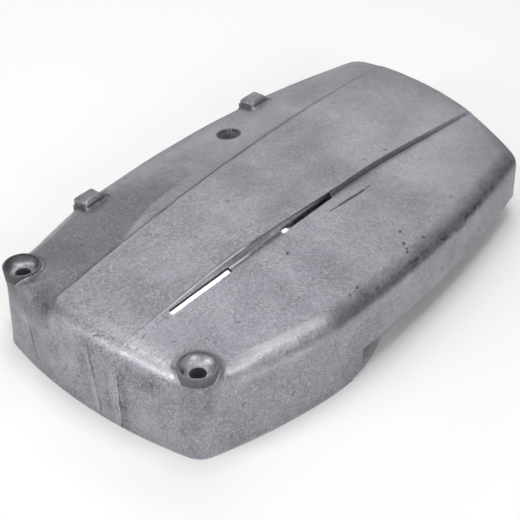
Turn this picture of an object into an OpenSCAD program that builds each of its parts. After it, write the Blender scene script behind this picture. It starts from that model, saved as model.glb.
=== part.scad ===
// Cast aluminium flywheel cover: a thin shell with a raised crowned band along its top,
// a deep skirt round the flywheel chamber and a shallow rim on its far half.
// X runs from the screw end to the far end, Y to the lug side, Z up.
// The origin lies midway between the two end screws, on the deep rim's face.

/* [Fixing screws] */
// Distance between the two end screws
screw_pitch = 94; // [92:0.5:98]
// Clearance hole for an M6 screw
screw_hole_d = 6.5; // [5.5:0.1:7.5]
// Outer diameter of the round boss at its top
boss_d = 15.6; // [14.5:0.1:17]
// Outer diameter of the boss at its foot, deep in the corner
boss_foot_d = 12.4; // [11:0.1:14]
// Height of the boss beside the field, above the rim
boss_h = 38.5; // [37:0.5:41]
// Diameter of the funnel at its lip
funnel_d = 14.2; // [12:0.1:14.4]
// Depth of the funnel
funnel_depth = 4.2; // [3:0.1:6]

/* [Outline] */
// Length of the cover from the end screws to the tip of the far end
cover_len = 246; // [240:1:252]
// Radius of the rim's corner round each end screw
corner_r = 9.7; // [9:0.1:11]
// Radius of the bulged end wall
near_end_r = 210; // [150:5:400]
// Set-back of the corner at the lug side, along the cover
near_left_x = 1.5; // [0:0.1:2.5]
// Half width of the cover at its bend
bend_half_w = 72.2; // [66:0.1:80]
// Place of the bend along the cover
bend_x = 64; // [58:0.1:72]
// Radius of the bend
bend_r = 95; // [80:1:110]
// Bow of the side between the end screw and the bend, as a share of the bend's turn
near_bow = 0.37; // [0.1:0.01:0.45]
// Bow of the side from the bend to the far end, as a share of the bend's turn
far_bow = 0.36; // [0.1:0.01:0.45]
// Radius of the slanted far end
far_end_r = 205; // [160:5:350]
// Far corner on the field side: distance from its centre to the tip of the far end
far_right_back = 44; // [39:1:49]
// Far corner on the field side: place across the cover
far_right_y = -52.5; // [-55:0.5:-50]
// Far corner on the field side: radius
far_right_r = 13; // [10:0.5:16]
// Far corner on the lug side: place across the cover
far_left_y = 47; // [44:0.5:50]
// Far corner on the lug side: radius
far_left_r = 12; // [10:0.5:14]

/* [Top] */
// Height of the band's crest above the rim
top_h = 41; // [39:0.5:44]
// Place of the crest along the cover
crest_x = 90; // [60:5:130]
// Radius of the crown along the cover
crown_len_r = 2300; // [1700:100:5000]
// Radius of the crown across the band
crown_band_r = 700; // [300:50:2000]
// Width of the rolled top edge
roll_w = 7.5; // [6:0.1:9]
// Draft of the outer wall, in degrees
wall_draft = 2.6; // [1:0.1:3.5]
// Slope of the strip beside the lugs at the screw end, in degrees
strip_slope_near = 9; // [6:0.5:12]
// Slope of the strip beside the lugs at the far end, in degrees
strip_slope_far = 5; // [2:0.5:8]
// Rise of the strip round its end screw
pad_h = 3.4; // [1:0.2:4]
// Reach of that rise
pad_r = 27; // [18:1:34]
// Depth of the scoop where the strip meets the end wall
scoop_depth = 2.2; // [0:0.2:4]
// Length of that scoop along the cover
scoop_len = 16; // [8:1:24]
// Slope of the field beside the slots, in degrees
field_slope = 4.6; // [1:0.2:7]

/* [Band] */
// Band's lug side edge, across the cover, at the screw end
band_left_near = 20.5; // [17:0.5:24]
// Band's lug side edge, across the cover, at the far end
band_left_far = 36.5; // [33:0.5:39]
// Bow of the band's lug side edge
band_left_bow = 3.7; // [0:0.1:6]
// Band's slot side edge, across the cover, at both ends of the slots
band_right_near = -18.8; // [-21:0.1:-17]
// How far that edge draws back from the slots along their run
band_right_bow = 2.1; // [0:0.1:3]
// Band's slot side edge, across the cover, at the far end
band_right_far = -25.7; // [-29:0.1:-24]
// Where the slot side edge starts to swing out
band_swing_x = 132; // [122:1:142]
// Step from the band down to the strip, at the screw end
strip_step_near = 1.6; // [1:0.1:2.5]
// Step from the band down to the strip, at the far end
strip_step_far = 0.7; // [0.3:0.1:1.2]
// Greatest step from the band down to the field
field_step = 2; // [1.5:0.1:3]
// Where that step is reached along the cover
field_step_x = 118; // [100:1:140]
// Where that step starts to fade
field_fade_x = 165; // [150:1:190]
// Step from the band down to the field, at the far end
field_step_far = 0.4; // [0.2:0.1:1.2]
// Width of the slanted riser at each step
riser_w = 1.4; // [0.8:0.1:2]
// How far to each side the steps fade out down the rolled edge
fade_w = 8; // [5:0.5:12]

/* [Slots] */
// Start of the first slot along the cover
slot_x = 15; // [12:0.5:20]
// Length of each slot
slot_len = 34.6; // [30:0.1:38]
// Distance from one slot to the next
slot_pitch = 68; // [60:0.5:72]
// Width of the first slot
slot_w = 2.6; // [2:0.1:3.4]
// Width of the second slot
slot_w_far = 2; // [1.4:0.1:3]
// Thickness of the top round the slots
slot_t = 1.5; // [1:0.1:2.4]
// How far that thinner ground reaches past a slot
slot_ground = 4; // [2:0.5:6]

/* [Shell] */
// Thickness of the outer wall
wall = 3; // [2.5:0.1:4]
// Thickness of the top
top_t = 3; // [2.5:0.1:4]
// Height of the shallow rim above the deep rim
shallow_z = 12; // [9:0.5:15]
// How far the flywheel chamber's centre lies before the bend
chamber_back = 1.2; // [0:0.1:4]
// How far the flywheel chamber's outer radius passes the half width at the bend
chamber_over = 0.2; // [0:0.1:1]
// Thickness of the flywheel chamber's wall
chamber_wall = 4; // [3:0.1:6]
// Height that the chamber's skirt stops short of the deep rim
skirt_lip = 1.6; // [0.5:0.1:2.5]
// Diameter of the solid column round each end screw
column_d = 17; // [15.5:0.5:19]
// Thickness of the stiffening ribs inside the far half
rib_t = 2.4; // [2:0.1:4]
// Depth of those ribs below the top
rib_h = 9; // [5:0.5:14]
// Distance between those ribs
rib_pitch = 42; // [30:1:56]

/* [Lugs] */
// Place of the first lug along the cover
lug_x = 53.5; // [48:0.5:60]
// Distance from the first lug to the second
lug_pitch = 111.5; // [106:0.5:118]
// Length of a lug
lug_len = 11; // [8:0.5:14]
// Width of a lug
lug_w = 8.5; // [7:0.5:11]
// Distance from the outline to a lug's outer face
lug_inset = 2.8; // [1.6:0.2:4]
// Height of a lug above the strip at its middle
lug_h = 4; // [3:0.5:6]
// Chamfer round a lug's top
lug_chamfer = 1.6; // [0.8:0.1:2.4]

/* [Third fixing] */
// Place of the third screw along the cover
third_x = 132; // [126:0.5:138]
// Distance from the third screw to the outline
third_inset = 21.3; // [16:0.1:26]
// Diameter of the recess for its head
third_d = 9.8; // [9:0.1:12]
// Depth of that recess
third_depth = 8; // [6:0.5:10]
// Diameter of the column behind it
third_column_d = 15; // [13.5:0.5:18]

/* [Hidden] */

// Steps round a corner, across strip, band and field, along the sides, over the edge and the funnel
n_corner = 4;
n_strip = 7;
n_band = 8;
n_field = 5;
n_near_side = 6;
n_bend = 4;
n_far_side = 10;
n_roll = 6;
n_bowl = 8;
// Steps of the small bores and columns, and of the flywheel chamber
fine = 48;
fine_chamber = 180;
// Overshoot of a cut past the face that it opens
over = 1;
// How far a boss reaches down into the solid corner
boss_depth = boss_h / 2;
// Width that takes in the whole cover
full_w = 4 * bend_half_w;
// Step over which the top's slope is taken
probe = 1;
// How soon the rows leave the shape of the two ends
end_fade = 8;
// How softly the slot side edge runs into its bow
bow_fade = 1.5;

function dir(a) = [cos(a), sin(a)];
function angle_of(v) = atan2(v[1], v[0]);
function mix(a, b, t) = a + (b - a) * t;
function ease(t) = t <= 0 ? 0 : t >= 1 ? 1 : t * t * (3 - 2 * t);

// Corner circles [x, y, r] in order round the outline
half_pitch = screw_pitch / 2;
bend_y = bend_half_w - bend_r;
far_right_x = cover_len - far_right_back;
far_left_x = cover_len - far_left_r;
CIRCLES = [
    [0, -half_pitch, corner_r],
    [bend_x, -bend_y, bend_r],
    [far_right_x, far_right_y, far_right_r],
    [far_left_x, far_left_y, far_left_r],
    [bend_x, bend_y, bend_r],
    [near_left_x, half_pitch, corner_r]
];
n_c = len(CIRCLES);
// Their numbers; an arc has the number of the corner before it
near_r = 0;
bend_rt = 1;
far_r = 2;
far_l = 3;
bend_lt = 4;
near_l = 5;
full_turn = 360;
half_turn = full_turn / 2;
quarter = full_turn / 4;

// Outward direction of the straight line that would touch corner i and the next one
function side_a(i) =
    let (p = CIRCLES[i % n_c], q = CIRCLES[(i + 1) % n_c], v = [q[0] - p[0], q[1] - p[1]])
    angle_of(v) - acos((p[2] - q[2]) / norm(v));
function turn(i) = let (t = side_a(i) - side_a(i - 1)) t - full_turn * floor(t / full_turn);
// Radius of the arc that leaves corner i in direction a and is tangent inside to corner k
function arc_r(i, a, k) =
    let (c = CIRCLES[i], q = CIRCLES[k], v = [c[0], c[1]] + c[2] * dir(a) - [q[0], q[1]])
    (v * v - q[2] * q[2]) / (2 * (v * dir(a) - q[2]));
// Radius of the arc after each corner: the sides bow by their share of the bend's turn
LINKS = [
    arc_r(bend_rt, side_a(near_r) + near_bow * turn(bend_rt), near_r),
    arc_r(bend_rt, side_a(bend_rt) - far_bow * turn(bend_rt), far_r),
    far_end_r,
    arc_r(bend_lt, side_a(far_l) + far_bow * turn(bend_lt), far_l),
    arc_r(bend_lt, side_a(bend_lt) - near_bow * turn(bend_lt), near_l),
    near_end_r
];

// Centre of the arc of radius r that is tangent inside to two corner circles
function link_centre(c1, c2, r) =
    let (p = [c1[0], c1[1]], q = [c2[0], c2[1]], g = norm(q - p), u = (q - p) / g,
        a = r - c1[2], b = r - c2[2], m = (a * a - b * b + g * g) / (2 * g),
        h = sqrt(a * a - m * m))
    p + m * u + h * [-u[1], u[0]];
LINK_C = [for (i = [0 : n_c - 1]) link_centre(CIRCLES[i], CIRCLES[(i + 1) % n_c], LINKS[i])];
function centre(i) = [CIRCLES[i % n_c][0], CIRCLES[i % n_c][1]];
// Angle where corner i meets the arc before it and the arc after it
function a_in(i) = angle_of(centre(i) - LINK_C[(i + n_c - 1) % n_c]);
function a_out(i) = let (a = angle_of(centre(i) - LINK_C[i % n_c]), b = a_in(i)) a < b ? a + full_turn : a;
function corner_pt(i, t, d) = centre(i) + (CIRCLES[i % n_c][2] - d) * dir(mix(a_in(i), a_out(i), t));
function link_pt(i, t, d) =
    let (a = angle_of(centre(i) - LINK_C[i]), b0 = angle_of(centre(i + 1) - LINK_C[i]),
        b = b0 < a ? b0 + full_turn : b0)
    LINK_C[i] + (LINKS[i] - d) * dir(mix(a, b, t));
// Place on arc i, as a share, where the end wall stands at height y across the cover
function link_share(i, y) =
    let (a = angle_of(centre(i) - LINK_C[i]), b0 = angle_of(centre(i + 1) - LINK_C[i]),
        b = b0 < a ? b0 + full_turn : b0, s = asin((y - LINK_C[i][1]) / (LINKS[i] - roll_w)),
        w = abs(a) > quarter ? half_turn - s : s, w2 = w < a - 1 ? w + full_turn : w)
    (w2 - a) / (b - a);

// Centre and outer radius of the flywheel chamber
chamber_x = bend_x - chamber_back;
chamber_r = bend_half_w + chamber_over;

// Edges of the band, the line of the slots and the steps, by the place along the cover
function band_left(x) =
    let (t = x / cover_len) mix(band_left_near, band_left_far, t) + band_left_bow * 4 * t * (1 - t);
function slot_line(x) =
    mix(band_right_near, band_right_far, ease((x - band_swing_x) / (cover_len - band_swing_x)));
slots_end = slot_x + slot_pitch + slot_len;
function band_right(x) =
    let (t = min(1, max(0, x / slots_end))) slot_line(x) + band_right_bow * pow(4 * t * (1 - t), bow_fade);
function strip_step(x) = mix(strip_step_near, strip_step_far, ease(x / cover_len));
function field_drop(x) =
    x < field_step_x ? field_step * (1 - pow(1 - max(0, x / field_step_x), 2))
    : mix(field_step, field_step_far, ease((x - field_fade_x) / (cover_len - field_fade_x)));

// Height of the top: the band, the strip on its lug side and the field on its slot side
function crest(x) = top_h - pow(x - crest_x, 2) / (2 * crown_len_r);
function band_mid(x) = (band_left(x) + band_right(x)) / 2;
function z_band(x, y) = crest(x) - pow(y - band_mid(x), 2) / (2 * crown_band_r);
function strip_slope(x) = mix(strip_slope_near, strip_slope_far, ease(x / cover_len));
// Where the top ends at either end wall, at a place y across the cover
function near_x(y) = LINK_C[near_l][0] - sqrt(pow(near_end_r - roll_w, 2) - pow(y - LINK_C[near_l][1], 2));
function far_x(y) = LINK_C[far_r][0] + sqrt(pow(far_end_r - roll_w, 2) - pow(y - LINK_C[far_r][1], 2));
function scoop(x, y) =
    scoop_depth * pow(max(0, 1 - (x - near_x(y)) / scoop_len), 2) * ease((half_pitch - y) / boss_d);
function pad(x, y) = pad_h * ease(1 - norm([x, y - half_pitch]) / pad_r);
function z_strip(x, y) =
    z_band(x, band_left(x)) - strip_step(x) - scoop(x, y) + pad(x, y)
        - (y - band_left(x) - riser_w) * tan(strip_slope(x));
function z_field(x, y) =
    z_band(x, slot_line(x)) - field_drop(x) - (slot_line(x) - riser_w - y) * tan(field_slope);

// Height of the top with its steps smoothed away, which the foot of the rolled edge follows
function z_calm(x, y) =
    let (l = ease((band_left(x) + fade_w - y) / (2 * fade_w)),
        r = ease((y - band_right(x) + fade_w) / (2 * fade_w)))
    mix(z_field(x, y), mix(z_strip(x, y), z_band(x, y), l), r);

// Columns across the top, from the lug side to the slot side
c_left = n_corner + n_strip;
c_right = c_left + 1 + n_band;
n_cols = c_right + 1 + n_field + n_corner;
n_rows = 2 * n_corner + n_near_side + n_bend + n_far_side;
function z_top(c, x, y) = c <= c_left ? z_strip(x, y) : c <= c_right ? z_band(x, y) : z_field(x, y);

// Point of the end arc i at a column, at inward offset d; ly and ry are the band's edges there
function end_pt(c, d, corner_a, corner_b, i, flip, ly, ry) =
    let (start = flip ? 1 : 0, c_end = c_right + 1 + n_field,
        half_a = 0.5 * c / n_corner, half_b = 0.5 * (c - c_end) / n_corner)
    c < n_corner ? corner_pt(corner_a, flip ? 0.5 - half_a : 0.5 + half_a, d)
    : c <= c_left ? link_pt(i, mix(start, link_share(i, ly + riser_w), (c - n_corner) / n_strip), d)
    : c <= c_right ? link_pt(i, mix(link_share(i, ly), link_share(i, ry), (c - c_left - 1) / n_band), d)
    : c <= c_end ? link_pt(i, mix(link_share(i, ry - riser_w), 1 - start, (c - c_right - 1) / n_field), d)
    : corner_pt(corner_b, flip ? 1 - half_b : half_b, d);
near_left_y = band_left(0);
near_right_y = band_right(0);
far_left_y_edge = band_left(far_x(band_left_far));
far_right_y_edge = band_right(far_x(band_right_far));
function near_pt(c, d) = end_pt(c, d, near_l, near_r, near_l, false, near_left_y, near_right_y);
function far_pt(c, d) = end_pt(c, d, far_l, far_r, far_r, true, far_left_y_edge, far_right_y_edge);

// Point of a long side at row j, at inward offset d
j_side = n_corner + n_near_side;
j_bend = j_side + n_bend;
j_far = j_bend + n_far_side;
function right_pt(j, d) =
    j <= n_corner ? corner_pt(near_r, 0.5 + 0.5 * j / n_corner, d)
    : j <= j_side ? link_pt(near_r, (j - n_corner) / n_near_side, d)
    : j <= j_bend ? corner_pt(bend_rt, (j - j_side) / n_bend, d)
    : j <= j_far ? link_pt(bend_rt, (j - j_bend) / n_far_side, d)
    : corner_pt(far_r, 0.5 * (j - j_far) / n_corner, d);
function left_pt(j, d) =
    j <= n_corner ? corner_pt(near_l, 0.5 - 0.5 * j / n_corner, d)
    : j <= j_side ? link_pt(bend_lt, 1 - (j - n_corner) / n_near_side, d)
    : j <= j_bend ? corner_pt(bend_lt, 1 - (j - j_side) / n_bend, d)
    : j <= j_far ? link_pt(far_l, 1 - (j - j_bend) / n_far_side, d)
    : corner_pt(far_l, 1 - 0.5 * (j - j_far) / n_corner, d);

// Share of the way along the cover at row j, from the mean of the two sides
function row_x(j, d) = (left_pt(j, d)[0] + right_pt(j, d)[0]) / 2;
function row_t(j, d) = (row_x(j, d) - row_x(0, d)) / (row_x(n_rows, d) - row_x(0, d));

// Edge of the band at row j, and the foot of its riser; hand is 1 on the lug side
function band_row_x(j, d, c) = mix(near_pt(c, d)[0], far_pt(c, d)[0], row_t(j, d));
function band_pt(j, d, hand) =
    let (x = band_row_x(j, d, hand > 0 ? c_left + 1 : c_right))
    [x, hand > 0 ? band_left(x) : band_right(x)];
function foot_pt(j, d, hand) =
    let (x = band_row_x(j, d, hand > 0 ? c_left : c_right + 1))
    [x, hand > 0 ? band_left(x) + riser_w : slot_line(x) - riser_w];
// Point inside the top at row j and column c, before its height
function flat_pt(j, c, d) =
    c <= c_left ? mix(left_pt(j, d), foot_pt(j, d, 1), c / c_left)
    : c <= c_right ? mix(band_pt(j, d, 1), band_pt(j, d, -1), (c - c_left - 1) / n_band)
    : mix(foot_pt(j, d, -1), right_pt(j, d), (c - c_right - 1) / (n_field + n_corner));
function grid_pt(j, c, d) =
    let (t = row_t(j, d))
    flat_pt(j, c, d)
        + pow(1 - t, end_fade) * (near_pt(c, d) - flat_pt(0, c, d))
        + pow(t, end_fade) * (far_pt(c, d) - flat_pt(n_rows, c, d));

// Round the edge once: near end, slot side, far end, lug side, as [row, column]
EDGE = concat(
    [for (c = [0 : n_cols - 1]) [0, c]],
    [for (j = [0 : n_rows - 1]) [j, n_cols]],
    [for (c = [n_cols : -1 : 1]) [n_rows, c]],
    [for (j = [n_rows : -1 : 1]) [j, 0]]
);
n_edge = len(EDGE);
function edge_pt(e, d) =
    let (j = EDGE[e][0], c = EDGE[e][1])
    c == 0 ? left_pt(j, d) : c == n_cols ? right_pt(j, d) : j == 0 ? near_pt(c, d) : far_pt(c, d);

// A closed form under the top, inset from the outline by inset and lowered by drop, standing at foot_z
module skin(inset, drop, foot_z, edge_w) {
    d_in = inset + edge_w;
    lean = tan(wall_draft);
    rings = [
        for (k = [-1 : n_roll]) for (e = [0 : n_edge - 1])
            let (c = EDGE[e][1], p = edge_pt(e, d_in), q = edge_pt(e, d_in + probe),
                z1 = z_top(c, p[0], p[1]) - drop, z2 = z_top(c, q[0], q[1]) - drop,
                z0 = z_calm(p[0], p[1]) - drop, s = max(0, atan((z2 - z1) / probe)),
                r = (edge_w - z0 * lean) / (1 / cos(wall_draft) - sin(s) - cos(s) * lean),
                a = mix(wall_draft, quarter - s, max(0, k) / n_roll),
                z = k < 0 ? foot_z : z0 - r * cos(s) + r * sin(a) + (z1 - z0) * pow(k / n_roll, 2),
                g = edge_pt(e, inset + (k < 0 ? foot_z * lean : edge_w + r * sin(s) - r * cos(a))))
            [g[0], g[1], z]
    ];
    inner = [
        for (j = [1 : n_rows - 1]) for (c = [1 : n_cols - 1])
            let (p = grid_pt(j, c, d_in)) [p[0], p[1], z_top(c, p[0], p[1]) - drop]
    ];
    top0 = (n_roll + 1) * n_edge;
    n_ring = (n_roll + 2) * n_edge;
    function edge_no(j, c) =
        j == 0 ? (c == n_cols ? n_cols : c)
        : j == n_rows ? n_cols + n_rows + (n_cols - c)
        : c == n_cols ? n_cols + j
        : 2 * n_cols + n_rows + (n_rows - j);
    function no(j, c) =
        j == 0 || j == n_rows || c == 0 || c == n_cols ? top0 + edge_no(j, c) % n_edge
        : n_ring + (j - 1) * (n_cols - 1) + c - 1;
    faces = concat(
        [[for (e = [0 : n_edge - 1]) e]],
        [
            for (k = [0 : n_roll]) for (e = [0 : n_edge - 1])
                let (a = k * n_edge + e, b = k * n_edge + (e + 1) % n_edge) [a + n_edge, b + n_edge, b, a]
        ],
        [
            for (j = [0 : n_rows - 1]) for (c = [0 : n_cols - 1])
                [no(j, c), no(j + 1, c), no(j + 1, c + 1), no(j, c + 1)]
        ]
    );
    polyhedron(points = concat(rings, inner), faces = faces, convexity = 8);
}

// Lug side of the outline at a place x along the cover, found from the arc there
function arc_y(c, r, x) = c[1] + sqrt(r * r - pow(x - c[0], 2));
function side_y(x) =
    x < left_pt(j_side, 0)[0] ? arc_y(LINK_C[bend_lt], LINKS[bend_lt], x)
    : x < left_pt(j_bend, 0)[0] ? arc_y([bend_x, bend_y], bend_r, x)
    : arc_y(LINK_C[far_l], LINKS[far_l], x);
third_y = side_y(third_x) - third_inset;

// Funnel and clearance hole of an end screw, from the boss top down
module screw_cut() {
    bowl = [
        for (i = [0 : n_bowl]) let (a = quarter * i / n_bowl)
            [screw_hole_d / 2 + (funnel_d - screw_hole_d) / 2 * sin(a), -funnel_depth * cos(a)]
    ];
    rotate_extrude($fn = fine)
        polygon(concat([[0, -funnel_depth]], bowl, [[funnel_d / 2, over], [0, over]]));
    translate([0, 0, -boss_h - over])
        cylinder(d = screw_hole_d, h = boss_h, $fn = fine);
}

// Side view of a block with its two upper corners cut off
module chamfered(w, h, q)
    polygon([[-w / 2, 0], [w / 2, 0], [w / 2, h - q], [w / 2 - q, h], [q - w / 2, h], [-w / 2, h - q]]);

// A lug with a chamfered top, standing on the roll of the lug side
module lug(x) {
    y = side_y(x) - lug_inset - lug_w / 2;
    foot = z_strip(x, y) - roll_w;
    h = roll_w + lug_h;
    translate([x, y, foot]) intersection() {
        translate([0, lug_w / 2, 0]) rotate([quarter, 0, 0])
            linear_extrude(lug_w) chamfered(lug_len, h, lug_chamfer);
        translate([-lug_len / 2, 0, 0]) rotate([quarter, 0, quarter])
            linear_extrude(lug_len) chamfered(lug_w, h, lug_chamfer);
    }
}

// What stays solid inside the shell: screw columns, flywheel chamber wall and ribs
module inside() {
    for (s = [-1, 1])
        translate([0, s * half_pitch, -over]) cylinder(d = column_d, h = top_h, $fn = fine);
    translate([third_x, third_y, -over]) cylinder(d = third_column_d, h = top_h, $fn = fine);
    chamber_in = chamber_r - chamber_wall;
    intersection() {
        translate([chamber_x, 0, -over]) difference() {
            cylinder(r = chamber_r, h = top_h, $fn = fine_chamber);
            translate([0, 0, -over]) cylinder(r = chamber_in, h = top_h + 2 * over, $fn = fine_chamber);
        }
        translate([chamber_x, -chamber_r, -over]) cube([chamber_r, 2 * chamber_r, top_h]);
    }
    rib_z = crest(cover_len) - top_t - rib_h;
    for (s = [-1, 1])
        translate([chamber_x + chamber_in, s * rib_pitch / 2 - rib_t / 2, rib_z])
            cube([cover_len, rib_t, top_h]);
}

// All that is below the shallow rim, beyond the flywheel chamber's skirt
module shallow_cut() {
    difference() {
        translate([chamber_x, -full_w / 2, -over]) cube([cover_len, full_w, shallow_z + over]);
        translate([chamber_x, 0, -2 * over])
            cylinder(r = chamber_r, h = shallow_z + 3 * over, $fn = fine_chamber);
    }
    translate([chamber_x, -full_w / 2, -over]) cube([cover_len, full_w, skirt_lip + over]);
}

// Both slots, wider all round by a margin
module slots(more) {
    for (i = [0, 1]) {
        w = i == 0 ? slot_w : slot_w_far;
        translate([slot_x + i * slot_pitch - more, band_right_near - w - more, shallow_z])
            cube([slot_len + 2 * more, w + 2 * more, top_h]);
    }
}

// Recess and clearance hole of the third screw
module third_cut() {
    top = z_strip(third_x, third_y);
    translate([third_x, third_y, top - third_depth])
        cylinder(d = third_d, h = third_depth + 2 * over, $fn = fine);
    translate([third_x, third_y, 0]) cylinder(d = screw_hole_d, h = top, $fn = fine);
}

// One aluminium casting
module flywheel_cover() color("silver") {
    difference() {
        union() {
            skin(0, 0, 0, roll_w);
            for (s = [-1, 1])
                translate([0, s * half_pitch, boss_h - boss_depth])
                    cylinder(d1 = boss_foot_d, d2 = boss_d, h = boss_depth, $fn = fine);
            for (i = [0, 1]) lug(lug_x + i * lug_pitch);
        }
        difference() {
            skin(wall, top_t, -over, roll_w - wall);
            inside();
        }
        shallow_cut();
        slots(0);
        intersection() {
            slots(slot_ground);
            skin(wall, slot_t, -over, roll_w - wall);
        }
        third_cut();
        for (s = [-1, 1]) translate([0, s * half_pitch, boss_h]) screw_cut();
    }
}

flywheel_cover();
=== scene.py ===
# A cast aluminium flywheel cover, dressed over its CAD frame. Its skin follows the same rule as the
# part's source, at close spacing, with the swell, folds, pits and soft seams of a raw casting.
import math
from contextlib import contextmanager
from functools import partial
from types import SimpleNamespace
import bmesh
import bpy
import numpy as np
from bpy.props import FloatProperty, FloatVectorProperty, IntProperty, PointerProperty
from mathutils import Matrix, Vector


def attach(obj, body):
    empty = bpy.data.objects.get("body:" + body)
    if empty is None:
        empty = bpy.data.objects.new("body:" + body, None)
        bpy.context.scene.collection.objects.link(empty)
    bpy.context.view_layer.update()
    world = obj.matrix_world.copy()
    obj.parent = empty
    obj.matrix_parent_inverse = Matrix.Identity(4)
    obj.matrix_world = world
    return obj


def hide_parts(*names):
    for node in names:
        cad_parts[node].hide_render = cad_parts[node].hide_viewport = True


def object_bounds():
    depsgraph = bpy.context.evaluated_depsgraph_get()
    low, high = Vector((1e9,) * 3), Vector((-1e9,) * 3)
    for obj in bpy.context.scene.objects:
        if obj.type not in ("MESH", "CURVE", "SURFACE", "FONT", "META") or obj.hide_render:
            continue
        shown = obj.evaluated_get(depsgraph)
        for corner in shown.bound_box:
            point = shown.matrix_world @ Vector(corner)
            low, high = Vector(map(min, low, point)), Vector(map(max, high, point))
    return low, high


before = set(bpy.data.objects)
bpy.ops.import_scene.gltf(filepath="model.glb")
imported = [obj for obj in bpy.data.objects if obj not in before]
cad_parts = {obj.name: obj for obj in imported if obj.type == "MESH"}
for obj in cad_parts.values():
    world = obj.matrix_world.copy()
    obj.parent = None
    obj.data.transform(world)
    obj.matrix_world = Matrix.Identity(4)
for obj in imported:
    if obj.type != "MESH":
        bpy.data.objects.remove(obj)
CAD_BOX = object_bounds()

bl_info = {
    "name": "Flywheel cover",
    "version": (1, 0, 0),
    "blender": (4, 5, 0),
    "location": "3D View > Sidebar > Flywheel cover",
    "description": "Builds a raw cast aluminium flywheel cover and a plain studio for it",
    "category": "Object",
}

MM = 0.001
TAU = 2 * math.pi

# Sizes of the cover in mm, the same as in the part's source
SCREW_PITCH, SCREW_HOLE_D, BOSS_D, BOSS_FOOT_D, BOSS_H = 94.0, 6.5, 15.6, 12.4, 38.5
FUNNEL_D, FUNNEL_DEPTH = 14.2, 4.2
CORNER_R, NEAR_END_R, NEAR_LEFT_X = 9.7, 210.0, 1.5
BEND_HALF_W, BEND_X, BEND_R, NEAR_BOW, FAR_BOW = 72.2, 64.0, 95.0, 0.37, 0.36
FAR_END_R, FAR_RIGHT, FAR_LEFT = 205.0, (202.0, -52.5, 13.0), (234.0, 47.0, 12.0)
TOP_H, CREST_X, CROWN_LEN_R, CROWN_BAND_R = 41.0, 90.0, 2300.0, 700.0
ROLL_W, WALL_DRAFT = 7.5, math.radians(2.6)
STRIP_SLOPE_NEAR, STRIP_SLOPE_FAR, FIELD_SLOPE = 9.0, 5.0, 4.6
PAD_H, PAD_R, SCOOP_DEPTH, SCOOP_LEN = 3.4, 27.0, 2.2, 16.0
BAND_LEFT_NEAR, BAND_LEFT_FAR, BAND_LEFT_BOW = 20.5, 36.5, 3.7
BAND_RIGHT_NEAR, BAND_RIGHT_BOW, BAND_RIGHT_FAR, BAND_SWING_X, BOW_FADE = -18.8, 2.1, -25.7, 132.0, 1.5
STRIP_STEP_NEAR, STRIP_STEP_FAR = 1.6, 0.7
FIELD_STEP, FIELD_STEP_X, FIELD_FADE_X, FIELD_STEP_FAR, RISER_W, FADE_W = 2.0, 118.0, 165.0, 0.4, 1.4, 8.0
SLOT_X, SLOT_LEN, SLOT_PITCH, SLOT_WIDTHS, SLOT_T, SLOT_GROUND = 15.0, 34.6, 68.0, (2.6, 2.0), 1.5, 4.0
WALL, TOP_T, SHALLOW_Z = 3.0, 3.0, 12.0
CHAMBER_X, CHAMBER_R, CHAMBER_WALL, SKIRT_LIP = 62.8, 72.4, 4.0, 1.6
COLUMN_D, RIB_T, RIB_H, RIB_PITCH = 17.0, 2.4, 9.0, 42.0
LUG_X, LUG_PITCH, LUG_LEN, LUG_W, LUG_INSET, LUG_H, LUG_CHAMFER = 53.5, 111.5, 11.0, 8.5, 2.8, 4.0, 1.6
THIRD_X, THIRD_INSET, THIRD_D, THIRD_DEPTH, THIRD_COLUMN_D = 132.0, 21.3, 9.8, 8.0, 15.0
# The burr along the band's slot side edge: where it starts, is full and stops, how it rises and falls
BURR_START_X, BURR_FULL_X, BURR_STOP_X, BURR_RISE, BURR_FALL = -14.0, 4.0, SLOT_X + SLOT_PITCH - 4, 8.0, 14.0
BURR_LOW, BURR_INSET, BURR_W = 0.3, 0.4, 0.5
# How far a cutter stands past what it cuts, how far apart the top's slope is read, and how fast the bend
# of the end rows fades along the top
OVER, PROBE, END_FADE = 1.0, 1.0, 8
# Faces round a screw's forms and round the flywheel chamber
ROUND_FACES, CHAMBER_FACES = 96, 240

# Cold folds in the end wall and hairlines, as runs of points in mm on the skin
FOLDS = [
    [(-13.0, -2.8, 33.3), (-13.4, -3.8, 26.6), (-13.6, -5.4, 20.6), (-13.9, -6.4, 13.2), (-14.3, -7.9, 5.4),
     (-14.4, -8.4, 0)],
    [(-13.0, -2.8, 33.3), (-10.6, -5.6, 37.6), (-9.4, -9.2, 38.3), (-8.6, -13.1, 38.5)],
    [(-11.6, -15.5, 33.0), (-12.9, -17.9, 24.4), (-13.3, -18.4, 16.3), (-13.6, -18.9, 8.0), (-13.9, -19.2, 0)],
    [(-9.3, 37.1, 28.2), (-10.2, 34.6, 20.3), (-10.9, 32.9, 12.7), (-11.6, 30.5, 4.9)],
    [(-8.0, -50.3, 23.7), (-8.8, -48.7, 17.3), (-9.5, -46.5, 10.8)],
]

# A thick scratch on the field and pits in it, as places along and across the cover
SCRATCH = [(108.5, -25.9), (115.0, -26.3), (120.0, -26.6), (126.0, -27.1), (132.0, -27.2), (137.0, -27.1)]
PITS = [
    (69.6, -64.1), (75.5, -63.6), (117.5, -55.8), (111.9, -61.4), (108.2, -65.6), (110.0, -64.2), (121.4, -65.1),
    (73.0, -30.5),
]

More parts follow.
